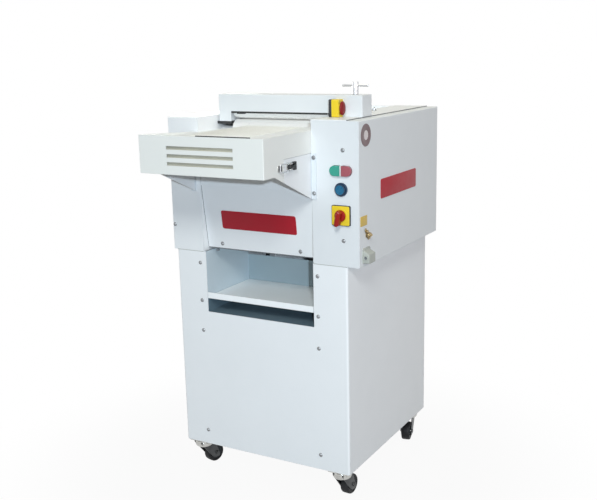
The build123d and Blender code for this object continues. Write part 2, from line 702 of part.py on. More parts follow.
# Side belt: one loop round the lower felt, upper felt, lower roller and feed belt shafts
side_radius = {
    "lower_rear": lower_pulley,
    "upper_rear": upper_pulley,
    "lower_roller": roller_pulley,
    "feed_rear": feed_pulley,
}
side_belt_x = side_pulley_x + pulley_flange + belt_room / 2
side_wheels = [shaft_lines[name][:2] + (radius,) for name, radius in side_radius.items()]
save(belt((side_belt_x, side_belt_x + side_belt_width), side_wheels, felt_gap, side_belt), "side_belt")

# Motor on the cabinet base, V-belt up to the lower felt's rear shaft
y_motor = y_front + motor_back
z_motor = z_cab + base_plate + motor_foot + motor_radius
motor_x = (x_left + motor_left, x_left + motor_left + motor_length)
drive_line = shaft_lines["lower_rear"]
with BuildPart() as motor:
    rod_x(motor_x, y_motor, z_motor, motor_radius)
    fillet(motor.edges().filter_by(GeomType.CIRCLE), bend)
    foot_x = (motor_x[0] + motor_length * 0.2, motor_x[1] - motor_length * 0.2)
    foot_y = (y_motor - motor_radius, y_motor + motor_radius)
    block(foot_x, foot_y, (z_cab + base_plate, z_cab + base_plate + base_plate * 3))
    neck_y = (y_motor - motor_radius * 0.6, y_motor + motor_radius * 0.6)
    block(foot_x, neck_y, (z_cab + base_plate, z_motor))
    rod_x((motor_x[0], motor_x[0] + motor_radius), y_motor, z_motor, motor_shaft + run_gap, Mode.SUBTRACT)
save(motor, "motor")

with BuildPart() as motor_pulley:
    pulley(v_pulley_x, v_room, y_motor, z_motor, motor_pulley_radius, motor_shaft + seat_gap)
    rod_x((v_pulley_x, motor_x[0] + motor_radius - sheet), y_motor, z_motor, motor_shaft)
save(motor_pulley, "motor_pulley")

v_wheels = [(y_motor, z_motor, motor_pulley_radius), drive_line[:2] + (drive_pulley_radius,)]
save(belt(v_belt_span, v_wheels, felt_gap, v_belt), "v_belt")

# Contactors on the right side plate
contactor_width = 45.0
contactor_depth = 70.0
contactor_height = 68.0
contactor_back = 220.0
contactor_step = 63.0
contactor_drop = 98.0  # undersides below the head's top
with BuildPart() as contactors:
    contactor_x = (frame_x["right"][1], frame_x["right"][1] + contactor_depth)
    contactor_z = (z_top - contactor_drop, z_top - contactor_drop + contactor_height)
    for step in range(3):
        start = y_front + contactor_back + step * contactor_step
        block(contactor_x, (start, start + contactor_width), contactor_z)
    fillet(contactors.edges().filter_by(Axis.X), sheet)
save(contactors, "contactors")

# Infeed guard: front with slots, and two sides down to the gussets
y_infeed = y_front - infeed_reach
z_guard = z_table - infeed_height
y_knee = y_front - knee
y_seam = y_front - gusset_seam
z_skirt = z_table - skirt_drop
z_foot = z_table - gusset_drop


def lower_edge(y):
    return z_guard + (z_foot - z_guard) * (y - y_knee) / (y_front - y_knee)


with BuildPart() as infeed_guard:
    block(x_infeed, (y_infeed, y_infeed + sheet), (z_guard, z_table))
    for x, rear_drop in ((x_infeed[0], left_plate_drop), (x_infeed[1] - sheet, 0.0)):
        with BuildSketch(Plane.YZ.offset(x)):
            with BuildLine():
                Polyline(
                    (y_infeed, z_guard),
                    (y_knee, z_guard),
                    (y_seam, lower_edge(y_seam)),
                    (y_seam, z_skirt),
                    (y_front, z_skirt),
                    (y_front, z_table - rear_drop),
                    (y_infeed, z_table),
                    close=True,
                )
            make_face()
        extrude(amount=sheet)
    front_edges = infeed_guard.edges().filter_by(Axis.Z).group_by(Axis.Y)[0]
    fillet(front_edges, sheet * 0.9)
    with BuildSketch(Plane.XZ.offset(-y_infeed)):
        for step in range(3):
            z_slot = z_table - slot_top - slot_height / 2 - step * slot_pitch
            with Locations(((x_infeed[0] + x_infeed[1]) / 2, z_slot)):
                Rectangle(slot_length, slot_height)
    extrude(amount=-sheet, mode=Mode.SUBTRACT)
save(infeed_guard, "infeed_guard")

feed_front_line = (y_front - feed_front, z_table + feed_rise - felt - felt_gap - feed_front_radius, feed_shaft)
seam_gap = 1.0
gusset_screw_z = (z_foot + gusset_screw_foot, z_skirt - gusset_screw_top)
gusset_screw_points = []
gusset_sides = {
    "left": (x_infeed[0], x_infeed[0] + sheet, x_infeed[0] + sheet + tongue, -1, z_table - left_plate_drop - sheet),
    "right": (x_infeed[1] - sheet, x_infeed[1], x_infeed[1] - sheet - tongue, 1, z_table - sheet),
}
with BuildPart() as infeed_gussets:
    y_cut = y_seam + seam_gap
    for outer_low, outer_high, inner, sign, z_tongue in gusset_sides.values():
        with BuildSketch(Plane.YZ.offset(outer_low)):
            with BuildLine():
                Polyline(
                    (y_cut, lower_edge(y_cut)),
                    (y_front, z_foot),
                    (y_front, z_skirt - seam_gap),
                    (y_cut, z_skirt - seam_gap),
                    close=True,
                )
            make_face()
        extrude(amount=sheet)
        tongue_x = (min(inner, inner + sign * tongue), max(inner, inner + sign * tongue))
        block(tongue_x, (y_infeed + 4 * sheet, y_front), (z_guard + 5 * sheet, z_tongue))
        outer_face = outer_low if sign < 0 else outer_high
        flange_end = outer_face + sign * flange_width
        flange_x = (min(outer_face, flange_end), max(outer_face, flange_end))
        block(flange_x, (y_front - sheet, y_front), (z_foot, z_skirt - seam_gap))
        x_screw = outer_face + sign * flange_width / 2
        for z in gusset_screw_z:
            gusset_screw_points.append((x_screw, z))
            rod_y((y_front - 2 * sheet, y_front), x_screw, z, screw_radius + screw_gap, Mode.SUBTRACT)
        rod_x((tongue_x[0] - sheet, tongue_x[1] + sheet), feed_front_line[0], feed_front_line[1],
              feed_shaft + run_gap, Mode.SUBTRACT)
save(infeed_gussets, "infeed_gussets")

with BuildPart() as panel_screws:
    for x, z in cabinet_screw_points + left_screw_points + right_screw_points:
        screw(x, y_front, z, screw_length)
    for x, z in gusset_screw_points:
        screw(x, y_front - sheet, z, sheet)
    for x, z in panel_screw_points:
        screw(x, panel_face(z) - screw_head_radius * panel_slope, z, screw_length)
save(panel_screws, "panel_screws")

# Table plates beside the feed belt
feed_mid = x_mid + feed_shift
feed_x = (feed_mid - feed_width / 2, feed_mid + feed_width / 2)
belt_side = 2.0
y_table_rear = y_roll - lower_radius
with BuildPart() as table_plates:
    right_x = (feed_x[1] + belt_side, x_infeed[1] - sheet)
    block(right_x, (y_infeed + sheet, y_table_rear), (z_table - sheet, z_table))
    left_z = (z_table - left_plate_drop - sheet, z_table - left_plate_drop)
    block((x_infeed[0] + sheet, feed_x[0] - belt_side), (y_infeed + sheet, y_front), left_z)
    apron_x = (x_infeed[0] + sheet + tongue + apron_side, feed_x[0] - belt_side)
    apron_y = (y_infeed + sheet + apron_gap, y_infeed + 2 * sheet + apron_gap)
    block(apron_x, apron_y, (left_z[0] - apron_drop, left_z[0]))
    block((x_open[0], feed_x[0] - belt_side), (y_front, y_table_rear), left_z)
save(table_plates, "table_plates")

# Feed belt and drums
feed_drum_x = (feed_x[0] - 1.0, feed_x[1] + 1.0)
front_shaft_x = (x_infeed[0] + sheet + felt_gap, x_infeed[1] - sheet - felt_gap)
save(drum(feed_drum_x, front_shaft_x, feed_front_line, feed_front_radius), "feed_front_drum")
feed_pulleys = [(side_pulley_x, side_room, feed_pulley)]
save(drum(feed_drum_x, driven_x, shaft_lines["feed_rear"], feed_rear_radius, feed_pulleys), "feed_rear_drum")
feed_wheels = [feed_front_line[:2] + (feed_front_radius,), shaft_lines["feed_rear"][:2] + (feed_rear_radius,)]
save(belt(feed_x, feed_wheels, felt_gap, felt), "feed_belt")

# Draw latch on the right side of the infeed box
x_latch = x_infeed[1]
x_pivot = x_latch + latch_plate + lever_gap + lever_depth / 2
z_latch = z_table - latch_drop
y_pivot = y_front - latch_pivot
y_catch = y_front - latch_catch
y_bail = y_pivot + bail_pivot
y_hook = y_catch - latch_rod - lever_gap
lever_z = (z_latch - lever_width / 2, z_latch + lever_width / 2)
with BuildPart() as latch_fittings:
    base_x = (x_latch, x_latch + latch_plate)
    ear_x = (x_latch, x_pivot + pivot_radius * 2)
    block(base_x, (y_pivot - 10.0, y_pivot + 22.0), (z_latch - ear_height, z_latch + ear_height))
    for ear_z in (z_latch - ear_height, z_latch + ear_height - ear_depth):
        block(ear_x, (y_pivot - 5.0, y_pivot + 4.0), (ear_z, ear_z + ear_depth))
    rod_z((z_latch - ear_height, z_latch + ear_height), x_pivot, y_pivot, pivot_radius)
    block(base_x, (y_catch - 6.0, y_catch + 14.0), (z_latch - 9.0, z_latch + 9.0))
    block((x_latch, x_pivot + latch_rod), (y_catch, y_catch + 5.0), (z_latch - 7.0, z_latch + 7.0))
save(latch_fittings, "latch_fittings")

with BuildPart() as latch_lever:
    lever_x = (x_pivot - lever_depth / 2, x_pivot + lever_depth / 2)
    block(lever_x, (y_pivot, y_pivot + lever_length), lever_z)
    thumb_z = (z_latch - thumb_width / 2, z_latch + thumb_width / 2)
    block(lever_x, (y_pivot + lever_length - thumb_length, y_pivot + lever_length), thumb_z)
    fillet(latch_lever.edges().filter_by(Axis.X).group_by(Axis.Y)[-1], lever_width * 0.25)
    rod_z(lever_z, x_pivot, y_pivot, lever_depth / 2)
    rod_z(lever_z, x_pivot, y_pivot, pivot_radius + run_gap, Mode.SUBTRACT)
    rod_z(lever_z, x_pivot, y_bail, latch_rod + run_gap, Mode.SUBTRACT)
save(latch_lever, "latch_lever")

with BuildPart() as latch_bail:
    bail_z = (z_latch - bail_width / 2, z_latch + bail_width / 2)
    corners = [(y_hook, bail_z[0]), (y_bail, bail_z[0]), (y_bail, bail_z[1]), (y_hook, bail_z[1])]
    with BuildLine(Plane.YZ.offset(x_pivot)) as wire:
        FilletPolyline(*corners, radius=bail_corner, close=True)
    with BuildSketch(Plane(origin=wire.line @ 0, z_dir=wire.line % 0)):
        Circle(latch_rod)
    sweep(path=wire.line)
save(latch_bail, "latch_bail")

# Push buttons
z_twin = z_head + twin_height
twin_hole = (twin_length - 2 * twin_rim, twin_width - 2 * twin_rim)


def twin_cap(sign, inset):
    with BuildSketch() as half:
        SlotOverall(twin_hole[0] - 2 * inset, twin_hole[1] - 2 * inset)
        with Locations((-sign * (twin_length / 2 - twin_bar / 2 - inset), 0)):
            Rectangle(twin_length, twin_width, mode=Mode.SUBTRACT)
    return half.sketch


z_reset = z_head + reset_height
z_switch = z_head + switch_height
y_bezel = y_front - bezel_depth
y_plate = y_front - switch_plate_depth
with BuildPart() as control_plates:
    with BuildSketch(Plane.XZ.offset(-y_front)):
        with Locations((x_control, z_twin)):
            SlotOverall(twin_length, twin_width)
            add(twin_cap(1, 0.0), mode=Mode.SUBTRACT)
            add(twin_cap(-1, 0.0), mode=Mode.SUBTRACT)
        with Locations((x_control, z_reset)):
            Circle(reset_bezel)
            Circle(reset_radius + cap_gap, mode=Mode.SUBTRACT)
    extrude(amount=bezel_depth)
    with BuildSketch(Plane.XZ.offset(-y_front)):
        with Locations((x_control, z_switch)):
            RectangleRounded(switch_width, switch_width, plate_corner)
            Circle(knob_shaft + run_gap, mode=Mode.SUBTRACT)
    extrude(amount=switch_plate_depth)
    for face in control_plates.faces().filter_by(Axis.Y).filter_by(lambda f: f.normal_at().Y < -0.5):
        fillet(face.outer_wire().edges(), 1.0)
save(control_plates, "control_plates")

for name, sign in (("green_button", -1), ("red_button", 1)):
    with BuildPart() as cap:
        with BuildSketch(Plane.XZ.offset(-(y_front - 1.0))):
            with Locations((x_control, z_twin)):
                add(twin_cap(sign, cap_gap))
        extrude(amount=cap_reach - 1.0)
        fillet(cap.faces().sort_by(Axis.Y)[0].edges(), 1.2)
    save(cap, name)

with BuildPart() as reset_button:
    rod_y((y_front - cap_reach - 2.0, y_front - 1.0), x_control, z_reset, reset_radius)
    fillet(reset_button.edges().filter_by(GeomType.CIRCLE).sort_by(Axis.Y)[0], 1.5)
save(reset_button, "reset_button")

# Main switch knob
with BuildPart() as switch_knob:
    rod_y((y_plate - knob_base - cap_gap, y_plate - cap_gap), x_control, z_switch, knob_radius)
    with BuildSketch(Plane.XZ.offset(-(y_plate - knob_base - cap_gap))):
        with Locations((x_control, z_switch - knob_grip_length * 0.14)):
            SlotOverall(knob_grip_length, knob_grip_width, rotation=78)
    extrude(amount=knob_reach - knob_base)
    fillet(switch_knob.faces().sort_by(Axis.Y)[0].edges(), 2.0)
    rod_y((y_plate - cap_gap, y_front + 3 * sheet), x_control, z_switch, knob_shaft)
save(switch_knob, "switch_knob")

# Emergency stop: a box on the bridge's front and a mushroom that faces right
box_x = (x_right - estop_inset, x_right - estop_inset + estop_width)
estop_y = (bridge_y[0] - estop_depth, bridge_y[0])
estop_z = (z_top + lid_rise, z_top + lid_rise + estop_height)
y_stop = estop_y[1] - mushroom_clear - mushroom_radius
z_stop = (estop_z[0] + estop_z[1]) / 2
neck_depth = 10.0
with BuildPart() as estop_box:
    block(box_x, estop_y, estop_z)
    fillet(estop_box.edges().filter_by(Axis.X), 3.0)
    rod_x((box_x[1] - neck_depth - 3.0, box_x[1]), y_stop, z_stop, mushroom_neck + run_gap, Mode.SUBTRACT)
save(estop_box, "estop_box")

with BuildPart() as estop_mushroom:
    cap_x = (box_x[1] + mushroom_gap, box_x[1] + mushroom_gap + mushroom_width)
    rod_x(cap_x, y_stop, z_stop, mushroom_radius)
    fillet(estop_mushroom.edges().filter_by(GeomType.CIRCLE).sort_by(Axis.X)[-1], mushroom_width * 0.6)
    rod_x((box_x[1] - neck_depth + 3.0, cap_x[0]), y_stop, z_stop, mushroom_neck)
save(estop_mushroom, "estop_mushroom")

# Earth terminal and cable outlet
with BuildPart() as earth_terminal:
    y_earth = y_front + earth_back
    z_earth = z_head + earth_rise
    rod_x((x_right - 3 * sheet, x_right + earth_reach), y_earth, z_earth, earth_radius)
    with BuildSketch(Plane.YZ.offset(x_right)):
        with Locations((y_earth, z_earth)):
            RegularPolygon(earth_nut, 6)
    extrude(amount=earth_nut_depth)
save(earth_terminal, "earth_terminal")

with BuildPart() as cable_outlet:
    y_outlet = y_front + outlet_back
    z_outlet = z_head + outlet_rise
    outlet_y = (y_outlet - outlet_width / 2, y_outlet + outlet_width / 2)
    outlet_z = (z_outlet - outlet_height / 2, z_outlet + outlet_height / 2)
    block((x_right, x_right + side_reach), outlet_y, outlet_z)
    chamfer(cable_outlet.edges().filter_by(Axis.Y).group_by(Axis.X)[-1].sort_by(Axis.Z)[-1], side_reach * 0.6)
    fillet(cable_outlet.edges().filter_by(Axis.Z), 3.0)
    rod_x((x_right, x_right + side_reach), y_outlet, z_outlet, outlet_bore, Mode.SUBTRACT)
save(cable_outlet, "cable_outlet")

# Casters: corner, place and the direction in which the wheel trails
caster_x = (x_cab[0] + caster_inset_side, x_cab[1] - caster_inset_side)
caster_y = (y_front + caster_inset_end, y_rear - caster_inset_end)
caster_places = {
    "front_left": (caster_x[0], caster_y[0], 76.0),
    "front_right": (caster_x[1], caster_y[0], 86.0),
    "rear_left": (caster_x[0], caster_y[1], -84.0),
    "rear_right": (caster_x[1], caster_y[1], -78.0),
}
plate_z = (caster_height - caster_plate, caster_height)
race_z = (plate_z[0] - race_depth, plate_z[0])
disc_z = (race_z[0] - race_gap - fork_disc_depth, race_z[0] - race_gap)
head_z = (disc_z[0] - race_gap - kingpin_head_depth, disc_z[0] - race_gap)
cheek_out = wheel_width / 2 + cheek_gap

with BuildPart() as caster_plates:
    for x, y, turn in caster_places.values():
        half = caster_plate_size / 2
        block((x - half, x + half), (y - half, y + half), plate_z)
        rod_z(race_z, x, y, fork_disc - sheet)
        rod_z((head_z[0], plate_z[0]), x, y, kingpin)
        rod_z(head_z, x, y, kingpin_head)
save(caster_plates, "caster_plates")

for corner, (x, y, turn) in caster_places.items():
    trail = Plane(origin=(x, y, 0), x_dir=(cos(radians(turn)), sin(radians(turn)), 0), z_dir=(0, 0, 1))
    with BuildPart(trail) as fork:
        rod_z(disc_z, 0, 0, fork_disc)
        chamfer(fork.edges().group_by(Axis.Z)[0], fork_disc_bevel)
        for start in (-cheek_out - cheek, cheek_out):
            cheek_plane = Plane(
                origin=trail.from_local_coords((0, start + cheek, 0)), x_dir=trail.x_dir, z_dir=-trail.y_dir
            )
            with BuildSketch(cheek_plane):
                Polygon(
                    (-cheek_top, disc_z[1]),
                    (cheek_top, disc_z[1]),
                    (caster_trail + cheek_boss, wheel_radius),
                    (caster_trail - cheek_boss, wheel_radius),
                )
                with Locations((caster_trail, wheel_radius)):
                    Circle(cheek_boss)
                    Circle(axle_radius + seat_gap, mode=Mode.SUBTRACT)
            extrude(amount=cheek)
        rod_z((head_z[0], disc_z[1]), 0, 0, kingpin + run_gap, Mode.SUBTRACT)
        end = cheek_out + cheek
        rod_y((-end - race_gap, end + race_gap), caster_trail, wheel_radius, axle_radius)
        rod_y((-end - axle_head, -end - race_gap), caster_trail, wheel_radius, axle_radius * 1.7)
        rod_y((end + race_gap, end + axle_head), caster_trail, wheel_radius, axle_radius * 1.7)
    save(fork, f"caster_fork_{corner}")
    with BuildPart(trail) as wheel:
        rod_y((-wheel_width / 2, wheel_width / 2), caster_trail, wheel_radius, wheel_radius)
        fillet(wheel.edges().filter_by(GeomType.CIRCLE), wheel_width * 0.2)
        rod_y((-wheel_width / 2, wheel_width / 2), caster_trail, wheel_radius, axle_radius + run_gap, Mode.SUBTRACT)
    save(wheel, f"caster_wheel_{corner}")
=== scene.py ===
import math

import bmesh
import bpy
from mathutils import Matrix, Vector


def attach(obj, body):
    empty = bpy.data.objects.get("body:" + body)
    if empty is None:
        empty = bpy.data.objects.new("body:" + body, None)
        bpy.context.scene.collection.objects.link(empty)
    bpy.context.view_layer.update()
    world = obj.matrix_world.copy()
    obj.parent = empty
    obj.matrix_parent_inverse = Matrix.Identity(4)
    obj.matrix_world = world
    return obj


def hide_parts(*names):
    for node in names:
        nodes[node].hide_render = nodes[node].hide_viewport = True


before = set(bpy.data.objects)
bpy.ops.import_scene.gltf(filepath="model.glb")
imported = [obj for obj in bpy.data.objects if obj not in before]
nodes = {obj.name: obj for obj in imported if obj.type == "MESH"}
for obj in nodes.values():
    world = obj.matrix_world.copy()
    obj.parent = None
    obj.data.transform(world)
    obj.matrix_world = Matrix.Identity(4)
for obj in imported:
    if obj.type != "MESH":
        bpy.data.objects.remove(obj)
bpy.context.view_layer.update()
scene = bpy.context.scene
print("frame loaded", len(nodes))


# Shader helpers: an input takes a plain value or a linked socket
def feed(tree, node, inputs):
    for label, source in inputs.items():
        if isinstance(source, bpy.types.NodeSocket):
            tree.links.new(source, node.inputs[label])
        else:
            node.inputs[label].default_value = source


def addNode(tree, kind, inputs=None, **settings):
    node = tree.nodes.new("ShaderNode" + kind)
    for label, value in settings.items():
        setattr(node, label, value)
    feed(tree, node, inputs or {})
    return node


def maths(tree, operation, *sources):
    return addNode(tree, "Math", dict(enumerate(sources)), operation=operation).outputs["Value"]


def mixed(tree, factor, first, second, **settings):
    inputs = {"Factor": factor, "A": first, "B": second}
    return addNode(tree, "Mix", inputs, data_type="RGBA", **settings).outputs["Result"]


def spread(tree, value, low, high, start=0.0, end=1.0, **settings):
    inputs = {"Value": value, "From Min": low, "From Max": high, "To Min": start, "To Max": end}
    return addNode(tree, "MapRange", inputs, **settings).outputs["Result"]


def cloud(tree, start, detail, roughness=0.5, scale="Scale"):
    inputs = {"Vector": start["Vector"], "Scale": start[scale], "Detail": detail, "Roughness": roughness}
    return addNode(tree, "TexNoise", inputs).outputs["Fac"]


def solid(colour):
    return colour + (1.0,)


# Shader groups: every pattern reads object coordinates, so scales count per metre
def newGroup(name, values, outputs, colours=()):
    group = bpy.data.node_groups.new(name, "ShaderNodeTree")
    face = group.interface
    face.new_socket("Vector", in_out="INPUT", socket_type="NodeSocketVector")
    for label, value in values.items():
        face.new_socket(label, in_out="INPUT", socket_type="NodeSocketFloat").default_value = value
    for label in colours:
        face.new_socket(label, in_out="INPUT", socket_type="NodeSocketColor")
    for label, kind in outputs.items():
        face.new_socket(label, in_out="OUTPUT", socket_type="NodeSocket" + kind)
    return group, group.nodes.new("NodeGroupInput").outputs, group.nodes.new("NodeGroupOutput")


def makePatches():
    group, start, end = newGroup("paintPatches", {"Scale": 6.0}, {"Colour": "Color"}, ("First", "Second"))
    share = spread(group, cloud(group, start, detail=4.0, roughness=0.6), low=0.32, high=0.68)
    feed(group, end, {"Colour": mixed(group, share, start["First"], start["Second"])})
    return group


def makeHandling():
    values = {"Scale": 30.0, "Smooth": 0.3, "Dull": 0.5}
    group, start, end = newGroup("handledGloss", values, {"Roughness": "Float"})
    touch = cloud(group, start, detail=3.0, roughness=0.65)
    gloss = spread(group, touch, low=0.3, high=0.7, start=start["Smooth"], end=start["Dull"])
    feed(group, end, {"Roughness": gloss})
    return group


def makePeel():
    group, start, end = newGroup("surfacePeel", {"Scale": 700.0}, {"Height": "Float"})
    feed(group, end, {"Height": cloud(group, start, detail=2.0)})
    return group


def makeEdges():
    values = {"Radius": 0.001, "Scale": 60.0}
    group, start, end = newGroup("wornEdges", values, {"Normal": "Vector", "Wear": "Float"})
    soft = addNode(group, "Bevel", {"Radius": start["Radius"]}, samples=4).outputs["Normal"]
    plain = addNode(group, "NewGeometry").outputs["Normal"]
    turned = addNode(group, "VectorMath", {0: soft, 1: plain}, operation="DOT_PRODUCT").outputs["Value"]
    bent = spread(group, turned, low=0.99, high=0.84)
    rubbed = spread(group, cloud(group, start, detail=3.0), low=0.38, high=0.62)
    feed(group, end, {"Normal": soft, "Wear": maths(group, "MULTIPLY", bent, rubbed)})
    return group


def makeThreads():
    values = {"Threads": 620.0, "Fuzz": 900.0}
    group, start, end = newGroup("feltThreads", values, {"Height": "Float", "Shade": "Float"})
    parts = addNode(group, "SeparateXYZ", {"Vector": start["Vector"]}).outputs
    waves = []
    for along in (parts["X"], maths(group, "ADD", parts["Y"], parts["Z"])):
        turns = maths(group, "MULTIPLY", along, start["Threads"])
        waves.append(maths(group, "SINE", maths(group, "MULTIPLY", turns, math.tau)))
    hairs = cloud(group, start, detail=4.0, roughness=0.7, scale="Fuzz")
    waveHeight = 0.35
    nap = maths(group, "MULTIPLY_ADD", maths(group, "MULTIPLY", *waves), waveHeight, hairs)
    feed(group, end, {"Height": nap, "Shade": spread(group, nap, low=0.1, high=0.9)})
    return group


groups = {
    "patches": makePatches(), "handling": makeHandling(), "peel": makePeel(),
    "edges": makeEdges(), "threads": makeThreads(),
}
print("shader groups made", len(groups))


def placeGroup(tree, name, inputs):
    return addNode(tree, "Group", inputs, node_tree=groups[name]).outputs


def patches(tree, place, scale, first, second):
    inputs = {"Vector": place, "Scale": scale, "First": solid(first), "Second": solid(second)}
    return placeGroup(tree, "patches", inputs)["Colour"]


def startMaterial(name):
    material = bpy.data.materials.new(name)
    material.use_nodes = True
    tree = material.node_tree
    return material, tree, tree.nodes["Principled BSDF"], addNode(tree, "TexCoord").outputs["Object"]


# Coats: two colours in patches, gloss as roughness from and to, peel as scale and depth,
# edge as the radius that catches light, worn as the colour of rubbed edges, wear as its amount
coatSet = dict(touchScale=26.0, bumpHeight=0.0004)


def coatFinish(name, first, second, gloss=(0.34, 0.46), peel=(700.0, 0.1), edge=0.0009, worn=None, wear=0.5,
               patch=5.0, metallic=0.0, stretch=(1.0, 1.0, 1.0), shine=0.5, bands=()):
    material, tree, shader, place = startMaterial(name)
    stretched = addNode(tree, "Mapping", {"Scale": stretch, "Vector": place}).outputs["Vector"]
    colour = patches(tree, place, patch, first, second)
    for band in bands:  # another colour below a place on one axis
        along = addNode(tree, "SeparateXYZ", {"Vector": place}).outputs[band["axis"]]
        above = spread(tree, along, band["at"] - band["soft"], band["at"] + band["soft"])
        colour = mixed(tree, above, patches(tree, place, patch, band["first"], band["second"]), colour)
    edges = placeGroup(tree, "edges", {"Vector": place, "Radius": edge})
    if worn:
        colour = mixed(tree, maths(tree, "MULTIPLY", edges["Wear"], wear), colour, solid(worn))
    touch = {"Vector": stretched, "Scale": coatSet["touchScale"], "Smooth": gloss[0], "Dull": gloss[1]}
    skin = placeGroup(tree, "peel", {"Vector": stretched, "Scale": peel[0]})
    bump = addNode(tree, "Bump", {"Strength": peel[1], "Distance": coatSet["bumpHeight"],
                                  "Height": skin["Height"], "Normal": edges["Normal"]})
    feed(tree, shader, {
        "Base Color": colour, "Metallic": metallic, "Specular IOR Level": shine,
        "Roughness": placeGroup(tree, "handling", touch)["Roughness"], "Normal": bump.outputs["Normal"],
    })
    return material


